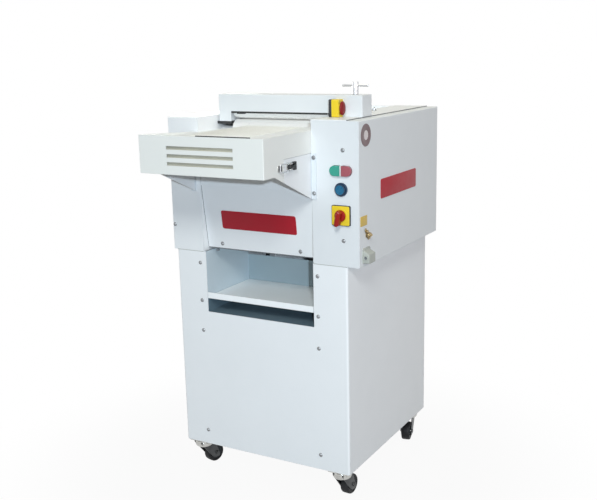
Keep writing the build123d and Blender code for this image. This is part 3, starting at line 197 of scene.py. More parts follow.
plainWhite = dict(first=(0.825, 0.845, 0.855), second=(0.80, 0.82, 0.835))
sheetPaint = dict(edge=0.0012, wear=0.18, shine=0.35)
platePrint = dict(gloss=(0.3, 0.4), peel=(500.0, 0.03), edge=0.0002)
buttonCap = dict(gloss=(0.25, 0.36), peel=(1500.0, 0.06), edge=0.0005)
redGrip = dict(gloss=(0.28, 0.4), peel=(1500.0, 0.08))
finishes = {
    "bodyWhite": dict(sheetPaint, **plainWhite, worn=(0.62, 0.64, 0.65)),
    # Painted shade: the column, the right side cover and the bridge cover take a darker copy of the white
    # paint
    "headWhiteShaded": dict(sheetPaint, first=(0.745, 0.77, 0.785), second=(0.725, 0.75, 0.765),
                      worn=(0.60, 0.62, 0.63), shine=0.3),
    # Painted light: the cabinet takes a brighter copy of the white paint
    "cabinetWhiteLit": dict(sheetPaint, first=(0.855, 0.872, 0.885), second=(0.83, 0.85, 0.862),
                         worn=(0.64, 0.66, 0.67)),
    # Painted shade: the gussets' flange keeps a darker copy of the white paint, and the rest takes the plain
    # white
    "gussetWhiteShadedFlange": dict(sheetPaint, first=(0.70, 0.745, 0.78), second=(0.68, 0.725, 0.76),
                        worn=(0.60, 0.62, 0.63), shine=0.3,
                        bands=[dict(plainWhite, axis="Y", at=-0.1645, soft=0.0003)]),  # all but the flange
    "guardWhite": dict(sheetPaint, first=(0.815, 0.825, 0.79), second=(0.79, 0.80, 0.77),
                       worn=(0.62, 0.64, 0.63)),
    # Painted light: the head's frame, the roller carriage and the flange bearings take a brighter copy of the
    # white paint
    "frameWhiteLit": dict(first=(0.87, 0.88, 0.88), second=(0.84, 0.855, 0.86), edge=0.0012),
    # Painted shade: the recess is a darker blue-grey than the white paint, its left wall is painted lighter
    # as if lit, and it is darker still below the tray as a painted shadow
    "recessPaintedShade": dict(
        first=(0.36, 0.45, 0.485), second=(0.345, 0.43, 0.465), gloss=(0.4, 0.52), edge=0.0012,
        bands=[dict(axis="X", at=-0.2046, soft=0.0003,  # left wall
                    first=(0.60, 0.69, 0.74), second=(0.57, 0.66, 0.71)),
               dict(axis="Z", at=0.563, soft=0.004,  # below the tray
                    first=(0.14, 0.20, 0.24), second=(0.11, 0.17, 0.21))]),
    # Painted light: the discharge tray takes a brighter copy of the white paint
    "trayWhiteLit": dict(first=(0.92, 0.945, 0.95), second=(0.89, 0.915, 0.92), gloss=(0.4, 0.5), edge=0.0012),
    "rollerWhite": dict(first=(0.80, 0.79, 0.77), second=(0.77, 0.76, 0.74), gloss=(0.26, 0.36),
                        peel=(900.0, 0.04)),
    # Painted light: the upper roller takes a brighter copy of the roller's white, lighting the shade under
    # the bridge
    "rollerPaintedLight": dict(first=(0.965, 0.97, 0.96), second=(0.945, 0.95, 0.94), gloss=(0.22, 0.3),
                         peel=(900.0, 0.03)),
    "castGrey": dict(first=(0.17, 0.19, 0.21), second=(0.13, 0.15, 0.17), gloss=(0.5, 0.65),
                     peel=(260.0, 0.4), worn=(0.4, 0.4, 0.4)),
    "blackPlastic": dict(first=(0.016, 0.016, 0.018), second=(0.026, 0.026, 0.028), gloss=(0.36, 0.5),
                         peel=(1400.0, 0.15), edge=0.0005, worn=(0.09, 0.09, 0.09)),
    "greyPlastic": dict(first=(0.42, 0.44, 0.40), second=(0.37, 0.39, 0.355), gloss=(0.42, 0.55),
                        peel=(1200.0, 0.2), edge=0.0006),
    "rimGrey": dict(first=(0.15, 0.16, 0.17), second=(0.12, 0.13, 0.14), gloss=(0.3, 0.42),
                    peel=(1200.0, 0.1), edge=0.0005),
    "paleLens": dict(first=(0.70, 0.74, 0.72), second=(0.64, 0.68, 0.66), gloss=(0.2, 0.3),
                     peel=(1200.0, 0.05), edge=0.0004),
    "greenPlastic": dict(buttonCap, first=(0.035, 0.33, 0.245), second=(0.025, 0.28, 0.205)),
    "redPlastic": dict(buttonCap, first=(0.36, 0.085, 0.11), second=(0.31, 0.07, 0.09)),
    "knobRed": dict(redGrip, first=(0.33, 0.008, 0.004), second=(0.27, 0.006, 0.003), edge=0.0006, shine=0.3,
                    worn=(0.55, 0.06, 0.04)),
    "stopRed": dict(redGrip, first=(0.25, 0.009, 0.010), second=(0.20, 0.007, 0.008), edge=0.0005, shine=0.25,
                    worn=(0.45, 0.05, 0.04)),
    "bluePlastic": dict(first=(0.008, 0.125, 0.24), second=(0.006, 0.10, 0.20), gloss=(0.22, 0.34),
                        peel=(1500.0, 0.05), edge=0.0005, shine=0.35),
    # Navy: the reset button's bezel, and the cap's side painted darker as shade beside its blue face
    "navyPlasticAndShade": dict(first=(0.006, 0.03, 0.07), second=(0.008, 0.038, 0.085), gloss=(0.3, 0.42),
                        peel=(1500.0, 0.08), edge=0.0005),
    "yellowPlastic": dict(first=(0.83, 0.62, 0.022), second=(0.77, 0.56, 0.018), gloss=(0.3, 0.42),
                          peel=(1300.0, 0.08), edge=0.0008, worn=(0.86, 0.72, 0.2)),
    "plateRed": dict(first=(0.40, 0.009, 0.022), second=(0.35, 0.008, 0.019), gloss=(0.34, 0.44),
                     peel=(500.0, 0.02), edge=0.0003, shine=0.25),
    "plateLine": dict(platePrint, first=(0.62, 0.20, 0.20), second=(0.54, 0.16, 0.17), shine=0.3),
    "plateYellow": dict(platePrint, first=(0.62, 0.42, 0.065), second=(0.55, 0.37, 0.055), edge=0.0003),
    "sealMaroon": dict(platePrint, first=(0.165, 0.10, 0.108), second=(0.14, 0.083, 0.09)),
    "sealPale": dict(platePrint, first=(0.70, 0.63, 0.63), second=(0.62, 0.56, 0.56)),
    "beltRubber": dict(first=(0.015, 0.015, 0.016), second=(0.024, 0.024, 0.025), gloss=(0.6, 0.75),
                       peel=(600.0, 0.4)),
    "tyreRubber": dict(first=(0.010, 0.010, 0.011), second=(0.020, 0.020, 0.021), gloss=(0.42, 0.6),
                       peel=(500.0, 0.25), worn=(0.045, 0.045, 0.045), shine=0.18),
    "hubPlastic": dict(first=(0.030, 0.034, 0.038), second=(0.022, 0.025, 0.028), gloss=(0.35, 0.5),
                       peel=(900.0, 0.15), edge=0.0005, shine=0.3),
    "steel": dict(first=(0.56, 0.57, 0.58), second=(0.48, 0.49, 0.50), gloss=(0.24, 0.38), peel=(420.0, 0.1),
                  metallic=1.0, stretch=(0.06, 1.0, 1.0), worn=(0.74, 0.74, 0.75)),
    "screwSteel": dict(first=(0.30, 0.31, 0.32), second=(0.24, 0.25, 0.26), gloss=(0.32, 0.46),
                       peel=(600.0, 0.1), metallic=1.0, edge=0.0003, worn=(0.5, 0.5, 0.5)),
    "chrome": dict(first=(0.66, 0.67, 0.69), second=(0.60, 0.61, 0.63), gloss=(0.26, 0.34),
                   peel=(300.0, 0.02), metallic=1.0, edge=0.0005),
    "zinc": dict(first=(0.58, 0.58, 0.56), second=(0.44, 0.44, 0.42), gloss=(0.2, 0.34), peel=(260.0, 0.1),
                 metallic=1.0, patch=60.0, edge=0.0006, worn=(0.85, 0.85, 0.84)),
    "forkSteel": dict(first=(0.085, 0.088, 0.09), second=(0.06, 0.063, 0.066), gloss=(0.3, 0.45),
                      peel=(260.0, 0.12), metallic=1.0, patch=60.0, edge=0.0005, worn=(0.45, 0.45, 0.44)),
    "turned": dict(first=(0.62, 0.63, 0.64), second=(0.55, 0.56, 0.57), gloss=(0.25, 0.36),
                   peel=(600.0, 0.12), metallic=1.0, stretch=(1.0, 0.05, 0.05)),
    "brass": dict(first=(0.42, 0.33, 0.19), second=(0.30, 0.23, 0.13), gloss=(0.25, 0.42),
                  peel=(300.0, 0.12), metallic=1.0, patch=90.0, edge=0.0004, worn=(0.75, 0.6, 0.32)),
}
paints = {name: coatFinish(name, **values) for name, values in finishes.items()}

feltSet = {
    "patch": 16.0, "shade": 0.16, "bumpHeight": 0.0006, "roughness": 0.92, "sheen": (0.2, 0.6),
    "kinds": {
        "feedFelt": dict(first=(0.91, 0.92, 0.895), second=(0.88, 0.89, 0.86), threads=620.0, depth=0.35),
        # Painted shade: the felt behind the guard's slots is a darker copy of the belt's felt
        "slotFeltShaded": dict(first=(0.62, 0.59, 0.48), second=(0.58, 0.55, 0.44), threads=420.0, depth=0.4),
        "mouldFelt": dict(first=(0.78, 0.77, 0.70), second=(0.72, 0.71, 0.63), threads=420.0, depth=0.5),
    },
}


def feltFinish(name, first, second, threads, depth):
    material, tree, shader, place = startMaterial(name)
    weave = placeGroup(tree, "threads", {"Vector": place, "Threads": threads})
    colour = patches(tree, place, feltSet["patch"], first, second)
    bump = addNode(tree, "Bump", {"Strength": depth, "Distance": feltSet["bumpHeight"],
                                  "Height": weave["Height"]})
    feed(tree, shader, {
        "Base Color": mixed(tree, feltSet["shade"], colour, weave["Shade"], blend_type="MULTIPLY"),
        "Roughness": feltSet["roughness"], "Normal": bump.outputs["Normal"],
        "Sheen Weight": feltSet["sheen"][0], "Sheen Roughness": feltSet["sheen"][1],
    })
    return material


for name, values in feltSet["kinds"].items():
    paints[name] = feltFinish(name, **values)
print("finishes made", len(paints))

nodePaint = {
    "frameWhiteLit": ["head_frame", "roller_carriage", "flange_bearings"],
    "headWhiteShaded": ["control_column", "right_side_cover", "bridge_cover"],
    "cabinetWhiteLit": ["cabinet_shell"],
    "gussetWhiteShadedFlange": ["infeed_gussets"],
    "guardWhite": ["infeed_guard"],
    "recessPaintedShade": ["discharge_recess"],
    "trayWhiteLit": ["discharge_tray"],
    "steel": ["lower_roller_gear", "upper_roller_gear", "dough_guides", "motor_pulley"],
    "rollerWhite": ["lower_roller"],
    "rollerPaintedLight": ["upper_roller"],
    "turned": [level + end + "_drum" for level in ("lower", "upper", "feed") for end in ("_front", "_rear")],
    "beltRubber": ["side_belt", "v_belt"],
    "castGrey": ["motor"],
    "blackPlastic": ["bridge_foot"],
    "chrome": ["latch_bail"],
    "greyPlastic": ["contactors"],
    "zinc": ["caster_plates"],
}
paintOf = {node: paint for paint, members in nodePaint.items() for node in members}
for name, node in nodes.items():
    node.data.materials.clear()
    node.data.materials.append(paints[paintOf.get(name, "bodyWhite")])
print("solids painted", len(nodes))


# Modelling helpers: sizes in millimetres, scaled once when a piece is finished
millimetre = 0.001
tiny = 0.001  # closer places count as the same
weldGap = 0.0005
cornerWeld = 0.06  # joins the points of round ends that nearly meet
front = (0, -1, 0)
right = (1, 0, 0)


def newPiece():
    return {"shape": bmesh.new(), "paints": []}


def addPart(piece, part, paint, place=None):
    bmesh.ops.remove_doubles(part, verts=part.verts, dist=weldGap)
    bmesh.ops.recalc_face_normals(part, faces=part.faces)
    if paint not in piece["paints"]:
        piece["paints"].append(paint)
    for face in part.faces:
        face.material_index = piece["paints"].index(paint)
        face.smooth = True
    if place is not None:
        bmesh.ops.transform(part, matrix=place, verts=part.verts)
    carrier = bpy.data.meshes.new("carrier")
    part.to_mesh(carrier)
    part.free()
    piece["shape"].from_mesh(carrier)
    bpy.data.meshes.remove(carrier)


def finishPiece(piece, name, body, replaced=(), crease=32.0):
    shape = piece["shape"]
    bmesh.ops.scale(shape, vec=(millimetre, millimetre, millimetre), verts=shape.verts)
    mesh = bpy.data.meshes.new(name)
    shape.to_mesh(mesh)
    shape.free()
    mesh.set_sharp_from_angle(angle=math.radians(crease))
    for paint in piece["paints"]:
        mesh.materials.append(paints[paint])
    made = bpy.data.objects.new(name, mesh)
    scene.collection.objects.link(made)
    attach(made, body)
    if replaced:
        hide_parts(*replaced)


def grownItems(grown, kind):
    return [item for item in grown["geom"] if isinstance(item, kind)]


def rounded(part, geom, size, steps=3, affect="EDGES", clamped=True):
    bmesh.ops.bevel(part, geom=geom, offset=size, offset_type="OFFSET", affect=affect, segments=steps,
                    profile=0.5, material=-1, clamp_overlap=clamped)


def roundedSheet(size, corner, steps=5):
    part = bmesh.new()
    bmesh.ops.create_grid(part, x_segments=1, y_segments=1, size=0.5)
    bmesh.ops.scale(part, vec=(*size, 1.0), verts=part.verts)
    rounded(part, part.verts[:], corner, steps, affect="VERTICES")
    bmesh.ops.remove_doubles(part, verts=part.verts, dist=cornerWeld)
    return part


def pulledUp(part, depth):
    grown = bmesh.ops.extrude_face_region(part, geom=part.faces[:])
    bmesh.ops.translate(part, verts=grownItems(grown, bmesh.types.BMVert), vec=(0.0, 0.0, depth))
    return grownItems(grown, bmesh.types.BMFace)


def rimOf(faces):
    inside = set(faces)
    edges = [edge for face in faces for edge in face.edges]
    return [edge for edge in edges if sum(face in inside for face in edge.link_faces) == 1]


def crowned(part, height, steps, even=True):  # each step: how far in, how far up
    top = pulledUp(part, height - sum(rise for inwards, rise in steps))
    for inwards, rise in steps:
        bmesh.ops.inset_region(part, faces=top, thickness=inwards, depth=rise, use_even_offset=even)


def openFrame(size, corner, rim, depth, steps=5):
    part = roundedSheet(size, corner, steps)
    inner = part.faces[:]
    bmesh.ops.inset_region(part, faces=inner, thickness=rim, use_even_offset=True)
    bmesh.ops.delete(part, geom=inner, context="FACES")
    return part, pulledUp(part, depth)


def pad(size, depth, corner, edge):
    part = roundedSheet(size, corner)
    rounded(part, rimOf(pulledUp(part, depth)), edge)
    return part


def lathe(profile, steps=40):
    part = bmesh.new()
    points = [part.verts.new((radius, 0.0, height)) for radius, height in profile]
    lines = [part.edges.new(pair) for pair in zip(points, points[1:])]
    bmesh.ops.spin(part, geom=points + lines, axis=(0, 0, 1), cent=(0, 0, 0), angle=math.tau, steps=steps,
                   use_merge=True)
    return part


def hexNut(radius, depth, chamfer):
    part = bmesh.new()
    bmesh.ops.create_circle(part, cap_ends=True, segments=6, radius=radius)
    rounded(part, rimOf(pulledUp(part, depth)), chamfer, steps=2)
    return part


def rod(start, end, radius, steps=20, edge=0.4):
    line = Vector(end) - Vector(start)
    part = bmesh.new()
    bmesh.ops.create_cone(part, cap_ends=True, segments=steps, radius1=radius, radius2=radius,
                          depth=line.length)
    rims = [e for e in part.edges if abs(e.verts[0].co.z - e.verts[1].co.z) < tiny]
    rounded(part, rims, edge, steps=2)
    middle = Matrix.Translation((Vector(start) + Vector(end)) / 2)
    turn = line.to_track_quat("Z", "Y").to_matrix().to_4x4()
    bmesh.ops.transform(part, matrix=middle @ turn, verts=part.verts)
    return part


def facing(place, outward, up=(0.0, 0.0, 1.0)):
    normal = Vector(outward).normalized()
    upward = (Vector(up) - normal * normal.dot(Vector(up))).normalized()
    across = upward.cross(normal)
    return Matrix.Translation(place) @ Matrix((across, upward, normal)).transposed().to_4x4()


def moved(x, y, z):
    return Matrix.Translation((x, y, z))


def turned(degrees):
    return Matrix.Rotation(math.radians(degrees), 4, "Z")


def addPad(piece, paint, outward, middle, **shape):
    addPart(piece, pad(**shape), paint, facing(middle, outward))


# Felt lining behind the guard's slots, its felt painted darker as shade inside the slots
lining = dict(middle=(-28.0, -390.6, 1020.5), size=(330.0, 60.0), depth=2.4, corner=4.0, edge=0.8)
piece = newPiece()
addPad(piece, "slotFeltShaded", front, **lining)
finishPiece(piece, "slotLining", "casing")

# Felt belts: a ring of points laid round two drums, drawn across and thickened
moulding = dict(thickness=5.0, edge=1.6, across=(-202.0, 148.0), paint="mouldFelt")
felts = {  # each drum: y, z and radius
    "feedBelt": dict(drums=((-350.0, 1034.7, 36.0), (-88.0, 1050.7, 20.0)), thickness=3.0, edge=1.0,
                     across=(-89.0, 101.0), paint="feedFelt", node="feed_belt"),
    "lowerMouldingFelt": dict(moulding, drums=((-8.0, 786.0, 34.0), (292.0, 826.0, 34.0)),
                              node="lower_moulding_felt"),
    "upperMouldingFelt": dict(moulding, drums=((-18.0, 891.0, 34.0), (292.0, 946.0, 34.0)),
                              node="upper_moulding_felt"),
}


def beltPart(drums, thickness, across, edge, gap=0.3, points=128):
    part = bmesh.new()
    bmesh.ops.create_circle(part, cap_ends=False, segments=points, radius=1.0)
    for point in part.verts:
        out = Vector((point.co.x, point.co.y))
        y, z, radius = max(drums, key=lambda drum: out.dot(Vector(drum[:2])) + drum[2])
        point.co = (across[0], y + out.x * (radius + gap), z + out.y * (radius + gap))
    grown = bmesh.ops.extrude_edge_only(part, edges=part.edges[:])
    width = across[1] - across[0]
    bmesh.ops.translate(part, verts=grownItems(grown, bmesh.types.BMVert), vec=(width, 0.0, 0.0))
    bmesh.ops.recalc_face_normals(part, faces=part.faces)
    bmesh.ops.solidify(part, geom=part.faces[:] + part.edges[:] + part.verts[:], thickness=-thickness)
    hoops = [e for e in part.edges if abs(e.verts[0].co.x - e.verts[1].co.x) < tiny]
    pairs = [(e, e.link_faces) for e in hoops if len(e.link_faces) == 2]
    sides = [e for e, faces in pairs if abs(faces[0].normal.dot(faces[1].normal)) < 0.5]  # true corners
    rounded(part, sides, edge, steps=2)
    return part


for name, felt in felts.items():
    piece = newPiece()
    belt = beltPart(felt["drums"], felt["thickness"], felt["across"], felt["edge"])
    addPart(piece, belt, felt["paint"])
    finishPiece(piece, name, "casing", [felt["node"]], crease=50.0)
print("felts made")

# Screws: domed heads with a socket
screws = {
    "head": [(0.0, 0.9), (1.5, 0.9), (1.7, 1.9), (2.6, 2.2), (3.6, 1.7), (4.3, 0.9), (4.5, 0.7), (5.6, 0.7),
             (5.9, 0.5), (5.9, -0.4), (0.0, -0.4)],
    "cabinet": [(x, -158.0, z) for x in (-226.0, 170.5) for z in (671.0, 555.0, 461.0, 137.0)],
    "columns": [(-312.0, -158.0, 781.0), (253.0, -158.0, 778.0), (253.0, -158.0, 1023.0)],
    "gussets": [(x, -160.0, z) for x in (-237.0, 166.0) for z in (903.0, 1000.0)],
    "panel": [(-160.0, -133.6, 730.0), (104.0, -133.6, 730.0)],
}
piece = newPiece()
for place in screws["cabinet"] + screws["columns"] + screws["gussets"] + screws["panel"]:
    addPart(piece, lathe(screws["head"], steps=20), "screwSteel", facing(place, front))
finishPiece(piece, "panelScrews", "casing", ["panel_screws"])
print("screws made")

# Push buttons, reset button and main switch on the right column
column = dict(x=248.0, y=-158.0)


def onColumn(z, out=0.0):
    return facing((column["x"], column["y"] - out, z), front)


twin = {
    "z": 968.0, "size": (71.0, 35.0), "rim": 3.5, "edge": 1.0, "depth": 6.0, "gap": 0.3, "roundSteps": 12,
    "bar": 5.0, "barCorner": 0.6, "barEdge": 0.8, "proud": 0.6,
    "reach": 9.0, "back": 1.0, "crown": ((2.4, 0.55), (3.0, 0.25)),
    "caps": {"startCap": (-1, "start_button", "green"), "stopCap": (1, "stop_button", "red")},
}


def roundEnd(width):  # just short of half, as the bevel needs; the weld closes the rest
    return width / 2 - 0.01


twinPlace = onColumn(twin["z"])
piece = newPiece()
ring, top = openFrame(twin["size"], roundEnd(twin["size"][1]), twin["rim"], twin["depth"], twin["roundSteps"])
rounded(ring, rimOf(top), twin["edge"])
addPart(piece, ring, "rimGrey", twinPlace)
barSize = (twin["bar"], twin["size"][1] - 2 * twin["rim"] + twin["proud"])
bar = pad(barSize, twin["depth"] + twin["proud"], twin["barCorner"], twin["barEdge"])
addPart(piece, bar, "paleLens", twinPlace)
finishPiece(piece, "twinBezel", "casing", ["control_plates"])
for name, (side, body, colour) in twin["caps"].items():
    capSize = [size - 2 * twin["rim"] - 2 * twin["gap"] for size in twin["size"]]
    cap = roundedSheet(capSize, roundEnd(capSize[1]), twin["roundSteps"])
    cut = side * (twin["bar"] / 2 + twin["gap"])
    bmesh.ops.bisect_plane(cap, geom=cap.verts[:] + cap.edges[:] + cap.faces[:], plane_co=(cut, 0, 0),
                           plane_no=(-side, 0, 0), clear_outer=True)
    bmesh.ops.remove_doubles(cap, verts=cap.verts, dist=cornerWeld)
    crowned(cap, twin["reach"] - twin["back"], twin["crown"])
    piece = newPiece()
    addPart(piece, cap, colour + "Plastic", onColumn(twin["z"], twin["back"]))
    finishPiece(piece, name, body, [colour + "_button"], crease=45.0)

reset = {
    "z": 918.0,
    "bezel": [(15.3, 0.0), (15.3, 5.2), (15.9, 6.0), (17.3, 6.0), (18.1, 5.6), (18.5, 4.6), (18.5, 0.0),
              (15.3, 0.0)],
    "cap": [(0.0, 1.0), (15.0, 1.0), (15.0, 9.6), (14.6, 10.6), (13.7, 11.0), (12.8, 10.9)],
    "face": [(12.8, 10.9), (12.2, 10.4), (8.0, 10.0), (0.0, 9.8)],
}
resetPlace = onColumn(reset["z"])
piece = newPiece()
addPart(piece, lathe(reset["bezel"], steps=48), "navyPlasticAndShade", resetPlace)
finishPiece(piece, "resetBezel", "casing")
piece = newPiece()
# Painted shade: the cap's side is navy and its face is blue
addPart(piece, lathe(reset["cap"], steps=48), "navyPlasticAndShade", resetPlace)
addPart(piece, lathe(reset["face"], steps=48), "bluePlastic", resetPlace)
finishPiece(piece, "resetCap", "reset", ["reset_button"])

switch = {
    "z": 848.0, "depth": 8.0,
    "back": dict(size=(55.0, 55.0), depth=6.4, corner=4.0, edge=0.6),
    "face": dict(size=(52.0, 52.0), depth=7.6, corner=4.0, edge=0.6),
    "ring": [(17.0, 7.4), (17.0, 7.9), (17.4, 8.0), (19.4, 8.0), (20.0, 7.8), (20.0, 7.4)],
}
switchPlace = onColumn(switch["z"])
piece = newPiece()
addPart(piece, pad(**switch["back"]), "blackPlastic", switchPlace)
addPart(piece, pad(**switch["face"]), "yellowPlastic", switchPlace)
addPart(piece, lathe(switch["ring"], steps=48), "yellowPlastic", switchPlace)
finishPiece(piece, "switchPlate", "casing")

knob = {
    "gap": 0.3, "turn": 78.0, "drop": 5.88,
    "foot": [(0.0, 0.0), (15.6, 0.0), (16.0, 0.6), (16.0, 3.8), (15.2, 5.3), (13.6, 6.0), (0.0, 6.0)],
    "grip": dict(size=(42.0, 13.0), corner=6.1, start=5.4, reach=18.0),
    "crown": ((1.3, 1.5), (1.56, 0.9), (1.56, 0.6)),
    "mark": dict(size=(11.0, 1.8), depth=0.5, corner=0.8, edge=0.15),
    "markPlace": (13.5, 0.0, 16.9),
    "spindle": dict(radius=4.0, out=1.0, back=6.0),
}
seat = switch["depth"] + knob["gap"]
gripPlace = onColumn(switch["z"] - knob["drop"], seat + knob["grip"]["start"]) @ turned(knob["turn"])
piece = newPiece()
addPart(piece, lathe(knob["foot"], steps=48), "knobRed", onColumn(switch["z"], seat))
grip = roundedSheet(knob["grip"]["size"], knob["grip"]["corner"])
crowned(grip, knob["grip"]["reach"], knob["crown"], even=False)
addPart(piece, grip, "knobRed", gripPlace)
addPart(piece, pad(**knob["mark"]), "paleLens", gripPlace @ moved(*knob["markPlace"]))
spindleEnds = [(column["x"], column["y"] + y, switch["z"])
               for y in (-seat - knob["spindle"]["out"], knob["spindle"]["back"])]
addPart(piece, rod(*spindleEnds, knob["spindle"]["radius"]), "screwSteel")
finishPiece(piece, "switchGrip", "main_switch", ["switch_knob"])
print("controls made")

# Emergency stop on the bridge
stop = {
    "x": (175.5, 205.5), "y": (-86.0, -58.0), "z": (1102.0, 1150.0), "base": 8.0, "baseEdge": 0.8,
    "corner": 3.0, "inset": 0.6, "rim": 2.2, "sunk": 0.8, "edge": 1.2,
    "axis": (-74.0, 1126.0), "lift": 3.0, "tall": 1.28,
    "cap": [(0.0, 8.0), (5.0, 7.9), (9.5, 7.3), (12.8, 6.0), (14.6, 4.2), (15.0, 2.8), (14.7, 1.0),
            (13.6, 0.2), (11.4, 0.0), (10.4, 0.8), (9.0, 0.8), (9.0, -10.0), (0.0, -10.0)],
    "collar": [(9.3, 0.0), (9.3, 1.6), (9.7, 2.0), (11.6, 2.0), (12.2, 1.4), (12.2, 0.0), (9.3, 0.0)],
}
inner, outer = stop["x"]
middle = (sum(stop["y"]) / 2, sum(stop["z"]) / 2)
boxSize = (stop["y"][1] - stop["y"][0], stop["z"][1] - stop["z"][0])
piece = newPiece()
base = pad(boxSize, stop["base"], stop["corner"], stop["baseEdge"])
addPart(piece, base, "blackPlastic", facing((inner, *middle), right))
house = roundedSheet([side - stop["inset"] for side in boxSize], stop["corner"])
top = pulledUp(house, outer - inner - stop["base"])
rim = bmesh.ops.inset_region(house, faces=top, thickness=stop["rim"], depth=-stop["sunk"],
                             use_even_offset=True)
rounded(house, rimOf(top + rim["faces"]), stop["edge"])
addPart(piece, house, "yellowPlastic", facing((inner + stop["base"], *middle), right))
collarPlace = facing((outer - stop["sunk"], *stop["axis"]), right)
addPart(piece, lathe(stop["collar"]), "yellowPlastic", collarPlace)
finishPiece(piece, "stopHousing", "casing", ["estop_box"])
piece = newPiece()
capPlace = facing((outer + stop["lift"], *stop["axis"]), right)
taller = Matrix.Diagonal((1.0, stop["tall"], 1.0, 1.0))
addPart(piece, lathe(stop["cap"], steps=48), "stopRed", capPlace @ taller)
finishPiece(piece, "stopMushroom", "emergency_stop", ["estop_mushroom"])
print("emergency stop made")

# T-handle of the upper roller's screw
handle = {
    "place": (228.0, -28.0, 1160.0), "barRise": 25.0, "barReach": 33.2, "barRadius": 3.3,
    "post": [(0.0, -31.0), (4.2, -31.0), (5.0, -30.2), (5.0, -0.4), (5.0, 0.2), (8.2, 0.2), (9.0, 1.0),
             (9.0, 9.2), (8.3, 9.8), (8.3, 11.0), (9.0, 11.6), (9.0, 32.8), (8.6, 34.2), (7.4, 35.0),
             (4.4, 35.0), (4.0, 34.4), (0.0, 34.2)],
    "knob": [(0.0, 0.0), (2.9, 0.0), (3.5, 0.7), (3.5, 4.4), (2.6, 6.2), (0.0, 6.8)],
}
x, y, z = handle["place"]
barEnds = [(x + sign * handle["barReach"], y, z + handle["barRise"]) for sign in (-1, 1)]
piece = newPiece()
addPart(piece, lathe(handle["post"]), "chrome", moved(x, y, z))
addPart(piece, rod(*barEnds, handle["barRadius"]), "chrome")
for sign, place in zip((-1, 1), barEnds):
    addPart(piece, lathe(handle["knob"], steps=24), "chrome", facing(place, (sign, 0, 0)))
finishPiece(piece, "tHandle", "handle", ["t_handle"])
print("handle made")

# Rubber edging and dark rods in each open seam between the sheets: painted shade that darkens the gaps
seamShades = {  # radius, start and end
    "rimGrey": [(1.4, (-210.0, -131.0, 715.2), (156.0, -131.0, 715.2)),
                (0.9, (-211.4, -155.4, 904.0), (-211.4, -130.6, 716.0))],  # round the sloped panel
    "greyPlastic": [(0.8, (158.6, -158.0, 706.0), (262.0, -158.0, 706.0)),
                    (0.8, (-307.0, -158.0, 706.0), (-212.6, -158.0, 706.0))],  # above the cabinet
}
piece = newPiece()
for paint, rows in seamShades.items():
    for radius, start, end in rows:
        addPart(piece, rod(start, end, radius, steps=12), paint)
finishPiece(piece, "seamShadeRods", "casing")

# A dark rubber strip along the bridge's lower front edge, painted shade between the bridge and the upper
# roller, and a short rubber stop
bridgeShadeStripAndStop = {
    "strip": dict(middle=(-3.0, -56.4, 1108.6), size=(318.0, 4.8), depth=1.6, corner=1.0, edge=0.4),
    "stop": dict(middle=(-128.0, -55.4, 1107.4), size=(29.0, 7.2), depth=3.0, corner=1.5, edge=0.5),
}
piece = newPiece()
for values in bridgeShadeStripAndStop.values():
    addPad(piece, "beltRubber", front, **values)
finishPiece(piece, "bridgeShadeStripAndStop", "casing")

panelBolt = {
    "place": (-182.0, -127.0, 714.0),
    "shank": [(0.0, -1.0), (2.6, -1.0), (2.6, 3.0), (4.8, 3.0), (4.8, 8.0), (3.8, 9.0), (0.0, 9.4)],
}
piece = newPiece()
downward = facing(panelBolt["place"], (0, 0, -1), (0, 1, 0))
addPart(piece, lathe(panelBolt["shank"], steps=24), "castGrey", downward)
finishPiece(piece, "panelBolt", "casing")
print("seams and seals made")

# Draw latch: pale plates, a dark hook, and a lever with a wide thumb end
latch = {
    "x": 164.8, "y": -283.0, "z": 991.0, "side": 159.0,
    "lever": dict(depth=7.0, corner=1.8, crown=((1.4, 1.0), (2.0, 0.4))),
    "outline": [(-3.4, -6.0), (15.0, -6.0), (17.0, -11.0), (30.0, -11.0), (30.0, 11.0), (17.0, 11.0),
                (15.0, 6.0), (-3.4, 6.0)],
    "sleeves": dict(shifts=(0.0, 9.0), half=6.1, radius=2.6),
    "plates": [dict(y=-277.0, size=(32.0, 17.0)), dict(y=-326.0, size=(20.0, 18.0))],
    "plate": dict(depth=2.0, corner=3.0, edge=0.5),
    "ear": dict(size=(9.0, 9.4), depth=2.2, corner=2.4, edge=0.4),
    "earPlace": (163.7, -283.5, 7.4),
    "pin": dict(half=8.6, radius=2.0),
    "hookY": -327.5, "hook": dict(size=(5.0, 14.0), depth=7.4, corner=1.2, edge=0.8),
    "rivets": [(-289.5, -5.0), (-289.5, 5.0), (-265.5, -5.0), (-265.5, 5.0), (-319.5, 0.0)],
    "rivet": [(0.0, 1.1), (1.0, 1.0), (1.7, 0.6), (2.0, 0.0), (2.0, -0.2), (0.0, -0.2)],
}


def latchRod(shift, half, radius):  # upright, through the lever's axis or beside it
    ends = [(latch["x"], latch["y"] + shift, latch["z"] + sign * half) for sign in (-1, 1)]
    return rod(*ends, radius, steps=16)


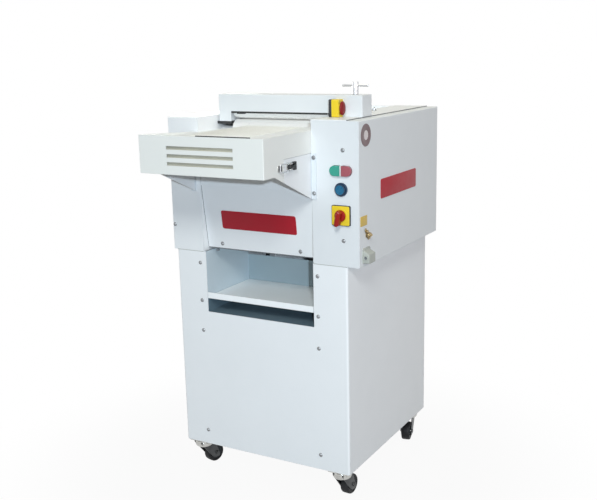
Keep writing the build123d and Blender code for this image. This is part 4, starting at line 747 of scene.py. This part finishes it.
piece = newPiece()
lever = bmesh.new()
lever.faces.new([lever.verts.new((along, up, 0.0)) for along, up in latch["outline"]])
rounded(lever, lever.verts[:], latch["lever"]["corner"], steps=4, affect="VERTICES", clamped=False)
bmesh.ops.recalc_face_normals(lever, faces=lever.faces)
crowned(lever, latch["lever"]["depth"], latch["lever"]["crown"])
leverBack = latch["x"] - latch["lever"]["depth"] / 2
addPart(piece, lever, "blackPlastic", facing((leverBack, latch["y"], latch["z"]), right))
for shift in latch["sleeves"]["shifts"]:
    sleeve = latchRod(shift, latch["sleeves"]["half"], latch["sleeves"]["radius"])
    addPart(piece, sleeve, "screwSteel")
finishPiece(piece, "latchLever", "lever", ["latch_lever"], crease=40.0)
piece = newPiece()
for plate in latch["plates"]:
    middle = (latch["side"], plate["y"], latch["z"])
    addPad(piece, "zinc", right, middle, size=plate["size"], **latch["plate"])
earX, earY, earRise = latch["earPlace"]
for sign in (-1, 1):
    earZ = latch["z"] + sign * earRise - latch["ear"]["depth"] / 2
    addPart(piece, pad(**latch["ear"]), "zinc", facing((earX, earY, earZ), (0, 0, 1), right))
addPart(piece, latchRod(0.0, **latch["pin"]), "screwSteel")
addPad(piece, "blackPlastic", right, (latch["side"], latch["hookY"], latch["z"]), **latch["hook"])
for y, rise in latch["rivets"]:
    rivetPlace = (latch["side"] + latch["plate"]["depth"], y, latch["z"] + rise)
    addPart(piece, lathe(latch["rivet"], steps=16), "screwSteel", facing(rivetPlace, right))
finishPiece(piece, "latchFittings", "casing", ["latch_fittings"])
print("latch made")

# Earth terminal: washers, two lugs, two nuts and a threaded stud
rightSide = 300.0
earth = {
    "place": (rightSide, -111.0, 791.0),
    "washer": [(0.0, 0.0), (9.0, 0.0), (9.2, 0.3), (9.2, 1.0), (8.9, 1.3), (0.0, 1.3)],
    "lugs": [dict(turn=38.0, reach=12.0), dict(turn=215.0, reach=9.0)],
    "lug": dict(width=11.0, extra=6.0, back=4.0, height=1.2, depth=1.5, corner=5.0, edge=0.4),
    "barrel": [(0.0, 2.6), (4.6, 2.6), (4.8, 3.0), (4.8, 6.4), (4.0, 7.2), (0.0, 7.4)],
    "lowNut": dict(radius=8.0, depth=4.0, chamfer=0.5), "lowPlace": (2.6, 0.3),  # height, turn in radians
    "disc": [(0.0, 6.5), (7.4, 6.5), (7.6, 6.8), (7.6, 7.4), (7.3, 7.7), (0.0, 7.7)],
    "topNut": dict(radius=6.6, depth=4.6, chamfer=0.5), "topPlace": (7.7, 0.75),
    "thread": dict(start=12.0, reach=16.0, pitch=1.0, crest=3.0, root=2.5, tip=2.2),
}
earthPlace = facing(earth["place"], right)


def addNut(piece, nut, height, turn):
    place = earthPlace @ moved(0.0, 0.0, height) @ Matrix.Rotation(turn, 4, "Z")
    addPart(piece, hexNut(**nut), "brass", place)


piece = newPiece()
addPart(piece, lathe(earth["washer"], steps=32), "brass", earthPlace)
lug = earth["lug"]
for values in earth["lugs"]:
    reach = values["reach"]
    lugPlace = earthPlace @ turned(values["turn"])
    blade = pad((lug["width"], 2 * reach + lug["extra"]), lug["depth"], lug["corner"], lug["edge"])
    addPart(piece, blade, "brass", lugPlace @ moved(0.0, reach - lug["back"], lug["height"]))
    addPart(piece, lathe(earth["barrel"], steps=24), "brass", lugPlace @ moved(0.0, reach, 0.0))
addNut(piece, earth["lowNut"], *earth["lowPlace"])
addPart(piece, lathe(earth["disc"], steps=32), "brass", earthPlace)
addNut(piece, earth["topNut"], *earth["topPlace"])
thread = earth["thread"]
stud = [(0.0, thread["start"])]
for turn in range(round((thread["reach"] - thread["start"]) / thread["pitch"])):
    low = thread["start"] + turn * thread["pitch"]
    stud += [(thread["crest"], low), (thread["root"], low + thread["pitch"] / 2)]
stud += [(thread["tip"], thread["reach"]), (0.0, thread["reach"])]
addPart(piece, lathe(stud, steps=24), "brass", earthPlace)
finishPiece(piece, "earthTerminal", "casing", ["earth_terminal"])

# Cable outlet: a moulded hood whose gland faces the front
outlet = {
    "place": (rightSide, -119.0, 736.0), "slope": 13.0,
    "flange": dict(size=(44.0, 42.0), depth=3.0, corner=4.0, edge=0.8),
    "hood": dict(size=(39.0, 38.0), corner=4.0, depth=19.6, edge=1.6, drop=1.0),
    "glandPlace": (9.6, -19.5, -4.0),
    "gland": [(4.2, -1.0), (4.2, 1.8), (4.8, 2.3), (6.8, 2.3), (7.4, 1.7), (7.4, -1.0), (4.2, -1.0)],
    "plug": [(0.0, 1.4), (2.6, 1.2), (4.4, 0.6), (4.4, -0.4), (0.0, -0.4)],
    "screws": [(19.9, -15.0, 3.0), (19.9, 15.0, 3.0)],
    "screw": [(0.0, 1.2), (1.6, 1.1), (2.6, 0.5), (2.8, 0.0), (2.8, -0.4), (0.0, -0.4)],
}
outletPlace = facing(outlet["place"], right)
piece = newPiece()
addPad(piece, "greyPlastic", right, outlet["place"], **outlet["flange"])
hoodSet = outlet["hood"]
hood = roundedSheet(hoodSet["size"], hoodSet["corner"])
top = pulledUp(hood, hoodSet["depth"])
for point in {p for face in top for p in face.verts}:  # the roof falls outwards
    if point.co.y > 0:
        point.co.y -= outlet["slope"] * point.co.y / (outlet["flange"]["size"][1] / 2)
rounded(hood, rimOf(top), hoodSet["edge"])
addPart(piece, hood, "greyPlastic", outletPlace @ moved(0.0, -hoodSet["drop"], 0.0))
glandPlace = facing(Vector(outlet["place"]) + Vector(outlet["glandPlace"]), front)
addPart(piece, lathe(outlet["gland"], steps=32), "greyPlastic", glandPlace)
addPart(piece, lathe(outlet["plug"], steps=32), "rimGrey", glandPlace)
for place in outlet["screws"]:
    addPart(piece, lathe(outlet["screw"], steps=16), "screwSteel", outletPlace @ moved(*place))
finishPiece(piece, "cableOutlet", "casing", ["cable_outlet"])
print("side fittings made")

# Dark rubber strips along the lid's edge and behind the guard's rim, painted shade in the lid's gap and on
# the belt's nose, and a bolt on the lid
shadeStrips = {
    "lidShadeStrip": dict(foot=(265.3, 121.0, 1100.0), size=(2.6, 557.0), height=2.4, round=0.5, paint="rimGrey"),
    "noseShadeStrip": dict(foot=(37.0, -398.9, 1062.0), size=(166.0, 2.0), height=13.6, round=0.5,
                      paint="beltRubber"),
}
for name, values in shadeStrips.items():
    piece = newPiece()
    strip = pad(values["size"], values["height"], values["round"], values["round"])
    addPart(piece, strip, values["paint"], moved(*values["foot"]))
    finishPiece(piece, name, "casing")

lidBolt = {
    "place": (186.0, 182.0, 1102.0),
    "washer": [(0.0, 0.0), (7.0, 0.0), (7.2, 0.4), (7.2, 1.2), (0.0, 1.2)],
    "nut": dict(radius=5.0, depth=5.0, chamfer=0.5), "nutHeight": 1.2,
    "end": [(0.0, 6.2), (2.6, 6.2), (2.6, 8.6), (2.2, 9.2), (0.0, 9.2)],
}
boltPlace = moved(*lidBolt["place"])
piece = newPiece()
addPart(piece, lathe(lidBolt["washer"], steps=28), "screwSteel", boltPlace)
addPart(piece, hexNut(**lidBolt["nut"]), "screwSteel", boltPlace @ moved(0.0, 0.0, lidBolt["nutHeight"]))
addPart(piece, lathe(lidBolt["end"], steps=20), "screwSteel", boltPlace)
finishPiece(piece, "lidBolt", "casing")
print("trim made")

# Blank plates on the front panel and the right side
redPlates = {
    "places": {
        "frontPlate": dict(middle=(-27.0, -142.9, 805.0), outward=(0.0, -192.0, -25.0)),  # the panel's slope
        "sidePlate": dict(middle=(rightSide, 103.0, 902.5), outward=right),
    },
    "sheet": dict(size=(250.0, 55.0), depth=1.2, corner=6.0, edge=0.35),
    "border": dict(size=(248.0, 53.0), depth=0.5, corner=5.0, rim=2.2), "borderHeight": 1.0,
}
for name, values in redPlates["places"].items():
    piece = newPiece()
    addPad(piece, "plateRed", **values, **redPlates["sheet"])
    place = facing(values["middle"], values["outward"]) @ moved(0.0, 0.0, redPlates["borderHeight"])
    addPart(piece, openFrame(**redPlates["border"])[0], "plateLine", place)
    finishPiece(piece, name, "casing")

roundPlate = {
    "place": (rightSide, -115.0, 1060.0),
    "ring": [(0.0, 0.0), (30.0, 0.0), (30.0, 0.8), (29.7, 1.0), (13.0, 1.0), (12.8, 0.9)],
    "centre": [(12.8, 0.9), (12.5, 1.1), (0.0, 1.1)],
}
sealPlace = facing(roundPlate["place"], right)
piece = newPiece()
addPart(piece, lathe(roundPlate["ring"], steps=64), "sealMaroon", sealPlace)
addPart(piece, lathe(roundPlate["centre"], steps=64), "sealPale", sealPlace)
finishPiece(piece, "roundPlate", "casing")

smallPlate = dict(middle=(rightSide, -131.0, 832.0), size=(40.0, 27.0), depth=1.0, corner=2.0, edge=0.3)
piece = newPiece()
addPad(piece, "plateYellow", right, **smallPlate)
finishPiece(piece, "smallPlate", "casing")
print("blank plates made")

# Casters: pressed fork head, two cheeks, axle bolt, tyre and hub
casters = {
    "places": {"front_left": (-268.0, -126.0, 76.0), "front_right": (223.0, -126.0, 86.0),
               "rear_left": (-268.0, 370.0, -84.0), "rear_right": (223.0, 370.0, -78.0)},  # x, y, degrees
    "head": [(5.1, 65.8), (20.5, 65.8), (23.4, 66.6), (26.2, 69.2), (27.2, 72.0), (27.2, 75.4), (28.0, 76.0),
             (28.0, 79.6), (27.2, 80.2), (27.2, 83.6), (26.4, 85.2), (25.2, 85.7), (9.0, 85.7), (5.1, 85.7),
             (5.1, 65.8)],
    "cheek": dict(top=26.0, high=83.7, lip=7.0, slant=2.0, boss=14.0, bossRound=11.48, inside=14.5, thick=3.0,
                  edge=0.7),
    "trail": 38.0, "axle": 30.0, "axleReach": 17.6, "axleRadius": 4.0,
    "washer": [(0.0, 0.0), (7.2, 0.0), (7.2, 0.8), (0.0, 0.8)],
    "nut": dict(radius=6.6, depth=2.6, chamfer=0.4), "nutHeight": 0.8,
    "tyre": [(20.0, -11.2), (21.4, -12.2), (25.6, -13.5), (28.0, -12.8), (29.5, -10.6), (30.0, -7.4),
             (30.0, 7.4), (29.5, 10.6), (28.0, 12.8), (25.6, 13.5), (21.4, 12.2), (20.0, 11.2),
             (20.0, -11.2)],
    "hub": [(4.1, -13.2), (8.2, -13.2), (8.8, -12.6), (8.8, -9.0), (16.8, -8.2), (18.2, -11.0), (19.9, -11.2),
            (19.9, 11.2), (18.2, 11.0), (16.8, 8.2), (8.8, 9.0), (8.8, 12.6), (8.2, 13.2), (4.1, 13.2),
            (4.1, -13.2)],
}
upright = Matrix.Rotation(math.radians(90), 4, "X")


def cheekPart():
    shape = casters["cheek"]
    low = casters["axle"] - shape["boss"]
    part = bmesh.new()
    outline = [part.verts.new((along, up, 0.0)) for along, up in (
        (-shape["top"], shape["high"]),
        (shape["slant"] - shape["top"], shape["high"] - shape["lip"]),
        (casters["trail"] - shape["boss"], low),
        (casters["trail"] + shape["boss"], low),
        (shape["top"], shape["high"]),
    )]
    part.faces.new(outline)
    rounded(part, outline[2:4], shape["bossRound"], steps=7, affect="VERTICES", clamped=False)
    rounded(part, rimOf(pulledUp(part, shape["thick"])), shape["edge"], steps=2)
    return part


def addCheek(piece, side, trail):
    inside = casters["cheek"]["inside"]
    outside = inside + casters["cheek"]["thick"]
    back = -inside if side < 0 else outside
    addPart(piece, cheekPart(), "forkSteel", trail @ moved(0.0, back, 0.0) @ upright)
    bolt = trail @ facing((casters["trail"], side * outside, casters["axle"]), (0, side, 0))
    addPart(piece, lathe(casters["washer"], steps=28), "forkSteel", bolt)
    addPart(piece, hexNut(**casters["nut"]), "forkSteel", bolt @ moved(0.0, 0.0, casters["nutHeight"]))


for corner, (x, y, turn) in casters["places"].items():
    trail = moved(x, y, 0.0) @ turned(turn)
    across = trail @ facing((casters["trail"], 0.0, casters["axle"]), (0, 1, 0))
    piece = newPiece()
    addPart(piece, lathe(casters["head"], steps=48), "zinc", trail)
    for side in (-1, 1):
        addCheek(piece, side, trail)
    axleEnds = [(casters["trail"], side * casters["axleReach"], casters["axle"]) for side in (-1, 1)]
    addPart(piece, rod(*axleEnds, casters["axleRadius"]), "zinc", trail)
    finishPiece(piece, "casterFork_" + corner, "fork_" + corner, ["caster_fork_" + corner])
    piece = newPiece()
    addPart(piece, lathe(casters["tyre"], steps=56), "tyreRubber", across)
    addPart(piece, lathe(casters["hub"], steps=48), "hubPlastic", across)
    finishPiece(piece, "casterWheel_" + corner, "wheel_" + corner, ["caster_wheel_" + corner])
print("casters made")

# Camera at the photograph's viewing angle
cameraSet = {
    "place": (1.335748, -2.279389, 1.294788),
    "turn": (77.041928, 1.203970, 29.236755),
    "lens": 54.49845, "sensor": 36.0, "farEnd": 50.0,
    "shift": (-0.01221, 0.005074),
}
camera = bpy.data.objects.new("camera", bpy.data.cameras.new("camera"))
scene.collection.objects.link(camera)
camera.location = cameraSet["place"]
camera.rotation_euler = [math.radians(angle) for angle in cameraSet["turn"]]
camera.data.lens = cameraSet["lens"]
camera.data.sensor_width = cameraSet["sensor"]
camera.data.sensor_fit = "HORIZONTAL"
camera.data.shift_x, camera.data.shift_y = cameraSet["shift"]
camera.data.clip_end = cameraSet["farEnd"]
scene.camera = camera


# Floor: mostly plain white where it is seen or mirrored, with a soft shadow
def eitherRay(tree, *kinds):
    rays = addNode(tree, "LightPath").outputs
    share = rays[kinds[0]]
    for kind in kinds[1:]:
        share = maths(tree, "MAXIMUM", share, rays[kind])
    return share


white = (1.0, 1.0, 1.0, 1.0)
floorSet = {"half": 8.0, "grey": 0.30, "roughness": 0.95, "near": 0.45, "far": 1.1, "plain": 0.94}
floorShape = bmesh.new()
bmesh.ops.create_grid(floorShape, x_segments=1, y_segments=1, size=floorSet["half"])
floorMesh = bpy.data.meshes.new("floor")
floorShape.to_mesh(floorMesh)
floorShape.free()
floor = bpy.data.objects.new("floor", floorMesh)
scene.collection.objects.link(floor)
material, tree, shader, place = startMaterial("floorWhite")
feed(tree, shader, {"Base Color": solid((floorSet["grey"],) * 3), "Roughness": floorSet["roughness"],
                    "Specular IOR Level": 0.0})
glow = addNode(tree, "Emission", {"Color": white, "Strength": 1.0})
away = addNode(tree, "VectorMath", {0: place}, operation="LENGTH").outputs["Value"]
plain = spread(tree, away, floorSet["near"], floorSet["far"], floorSet["plain"], 1.0,
               interpolation_type="SMOOTHSTEP")
share = maths(tree, "MULTIPLY", eitherRay(tree, "Is Camera Ray", "Is Glossy Ray"), plain)
surface = addNode(tree, "MixShader", {"Fac": share, 1: shader.outputs["BSDF"], 2: glow.outputs["Emission"]})
feed(tree, tree.nodes["Material Output"], {"Surface": surface.outputs["Shader"]})
floorMesh.materials.append(material)

# World: white where it is seen or mirrored, softer where it lights
worldSet = {"seen": 1.0, "light": 0.14}
world = bpy.data.worlds.new("studio")
scene.world = world
world.use_nodes = True
tree = world.node_tree
clear = eitherRay(tree, "Is Camera Ray", "Is Glossy Ray", "Is Transmission Ray")
strength = spread(tree, clear, 0.0, 1.0, worldSet["light"], worldSet["seen"])
feed(tree, tree.nodes["Background"], {"Color": white, "Strength": strength})

lamps = {
    "frontLamp": dict(place=(2.6, -5.6, 5.05), size=1.6, power=225.0, colour=(0.97, 1.0, 0.97)),
    "overLamp": dict(place=(0.0, 0.2, 4.2), size=3.0, power=38.0, colour=(1.0, 0.95, 0.70)),
    "sideLamp": dict(place=(3.2, -0.8, 2.0), size=2.0, power=16.5, colour=(1.0, 0.82, 0.77)),
    "leftLamp": dict(place=(-3.2, -0.5, 1.6), size=2.0, power=12.0, colour=(1.0, 1.0, 1.0)),
    "rearLamp": dict(place=(-2.2, 2.6, 0.95), size=0.8, power=75.0, colour=(1.0, 1.0, 1.0), aim=0.6),
    "nearLamp": dict(place=(2.66, -4.14, 1.81), size=0.08, power=128.0, colour=(0.75, 0.875, 1.0)),
}
aimHeight = 0.75  # above the origin, where a lamp names no other
for name, values in lamps.items():
    lamp = bpy.data.objects.new(name, bpy.data.lights.new(name, "AREA"))
    scene.collection.objects.link(lamp)
    aim = Vector((0.0, 0.0, values.get("aim", aimHeight)))
    lamp.location = values["place"]
    lamp.rotation_euler = (aim - Vector(values["place"])).to_track_quat("-Z", "Y").to_euler()
    lamp.data.size = values["size"]
    lamp.data.energy = values["power"]
    lamp.data.color = values["colour"]
scene.view_settings.view_transform = "Standard"
print("stage set")
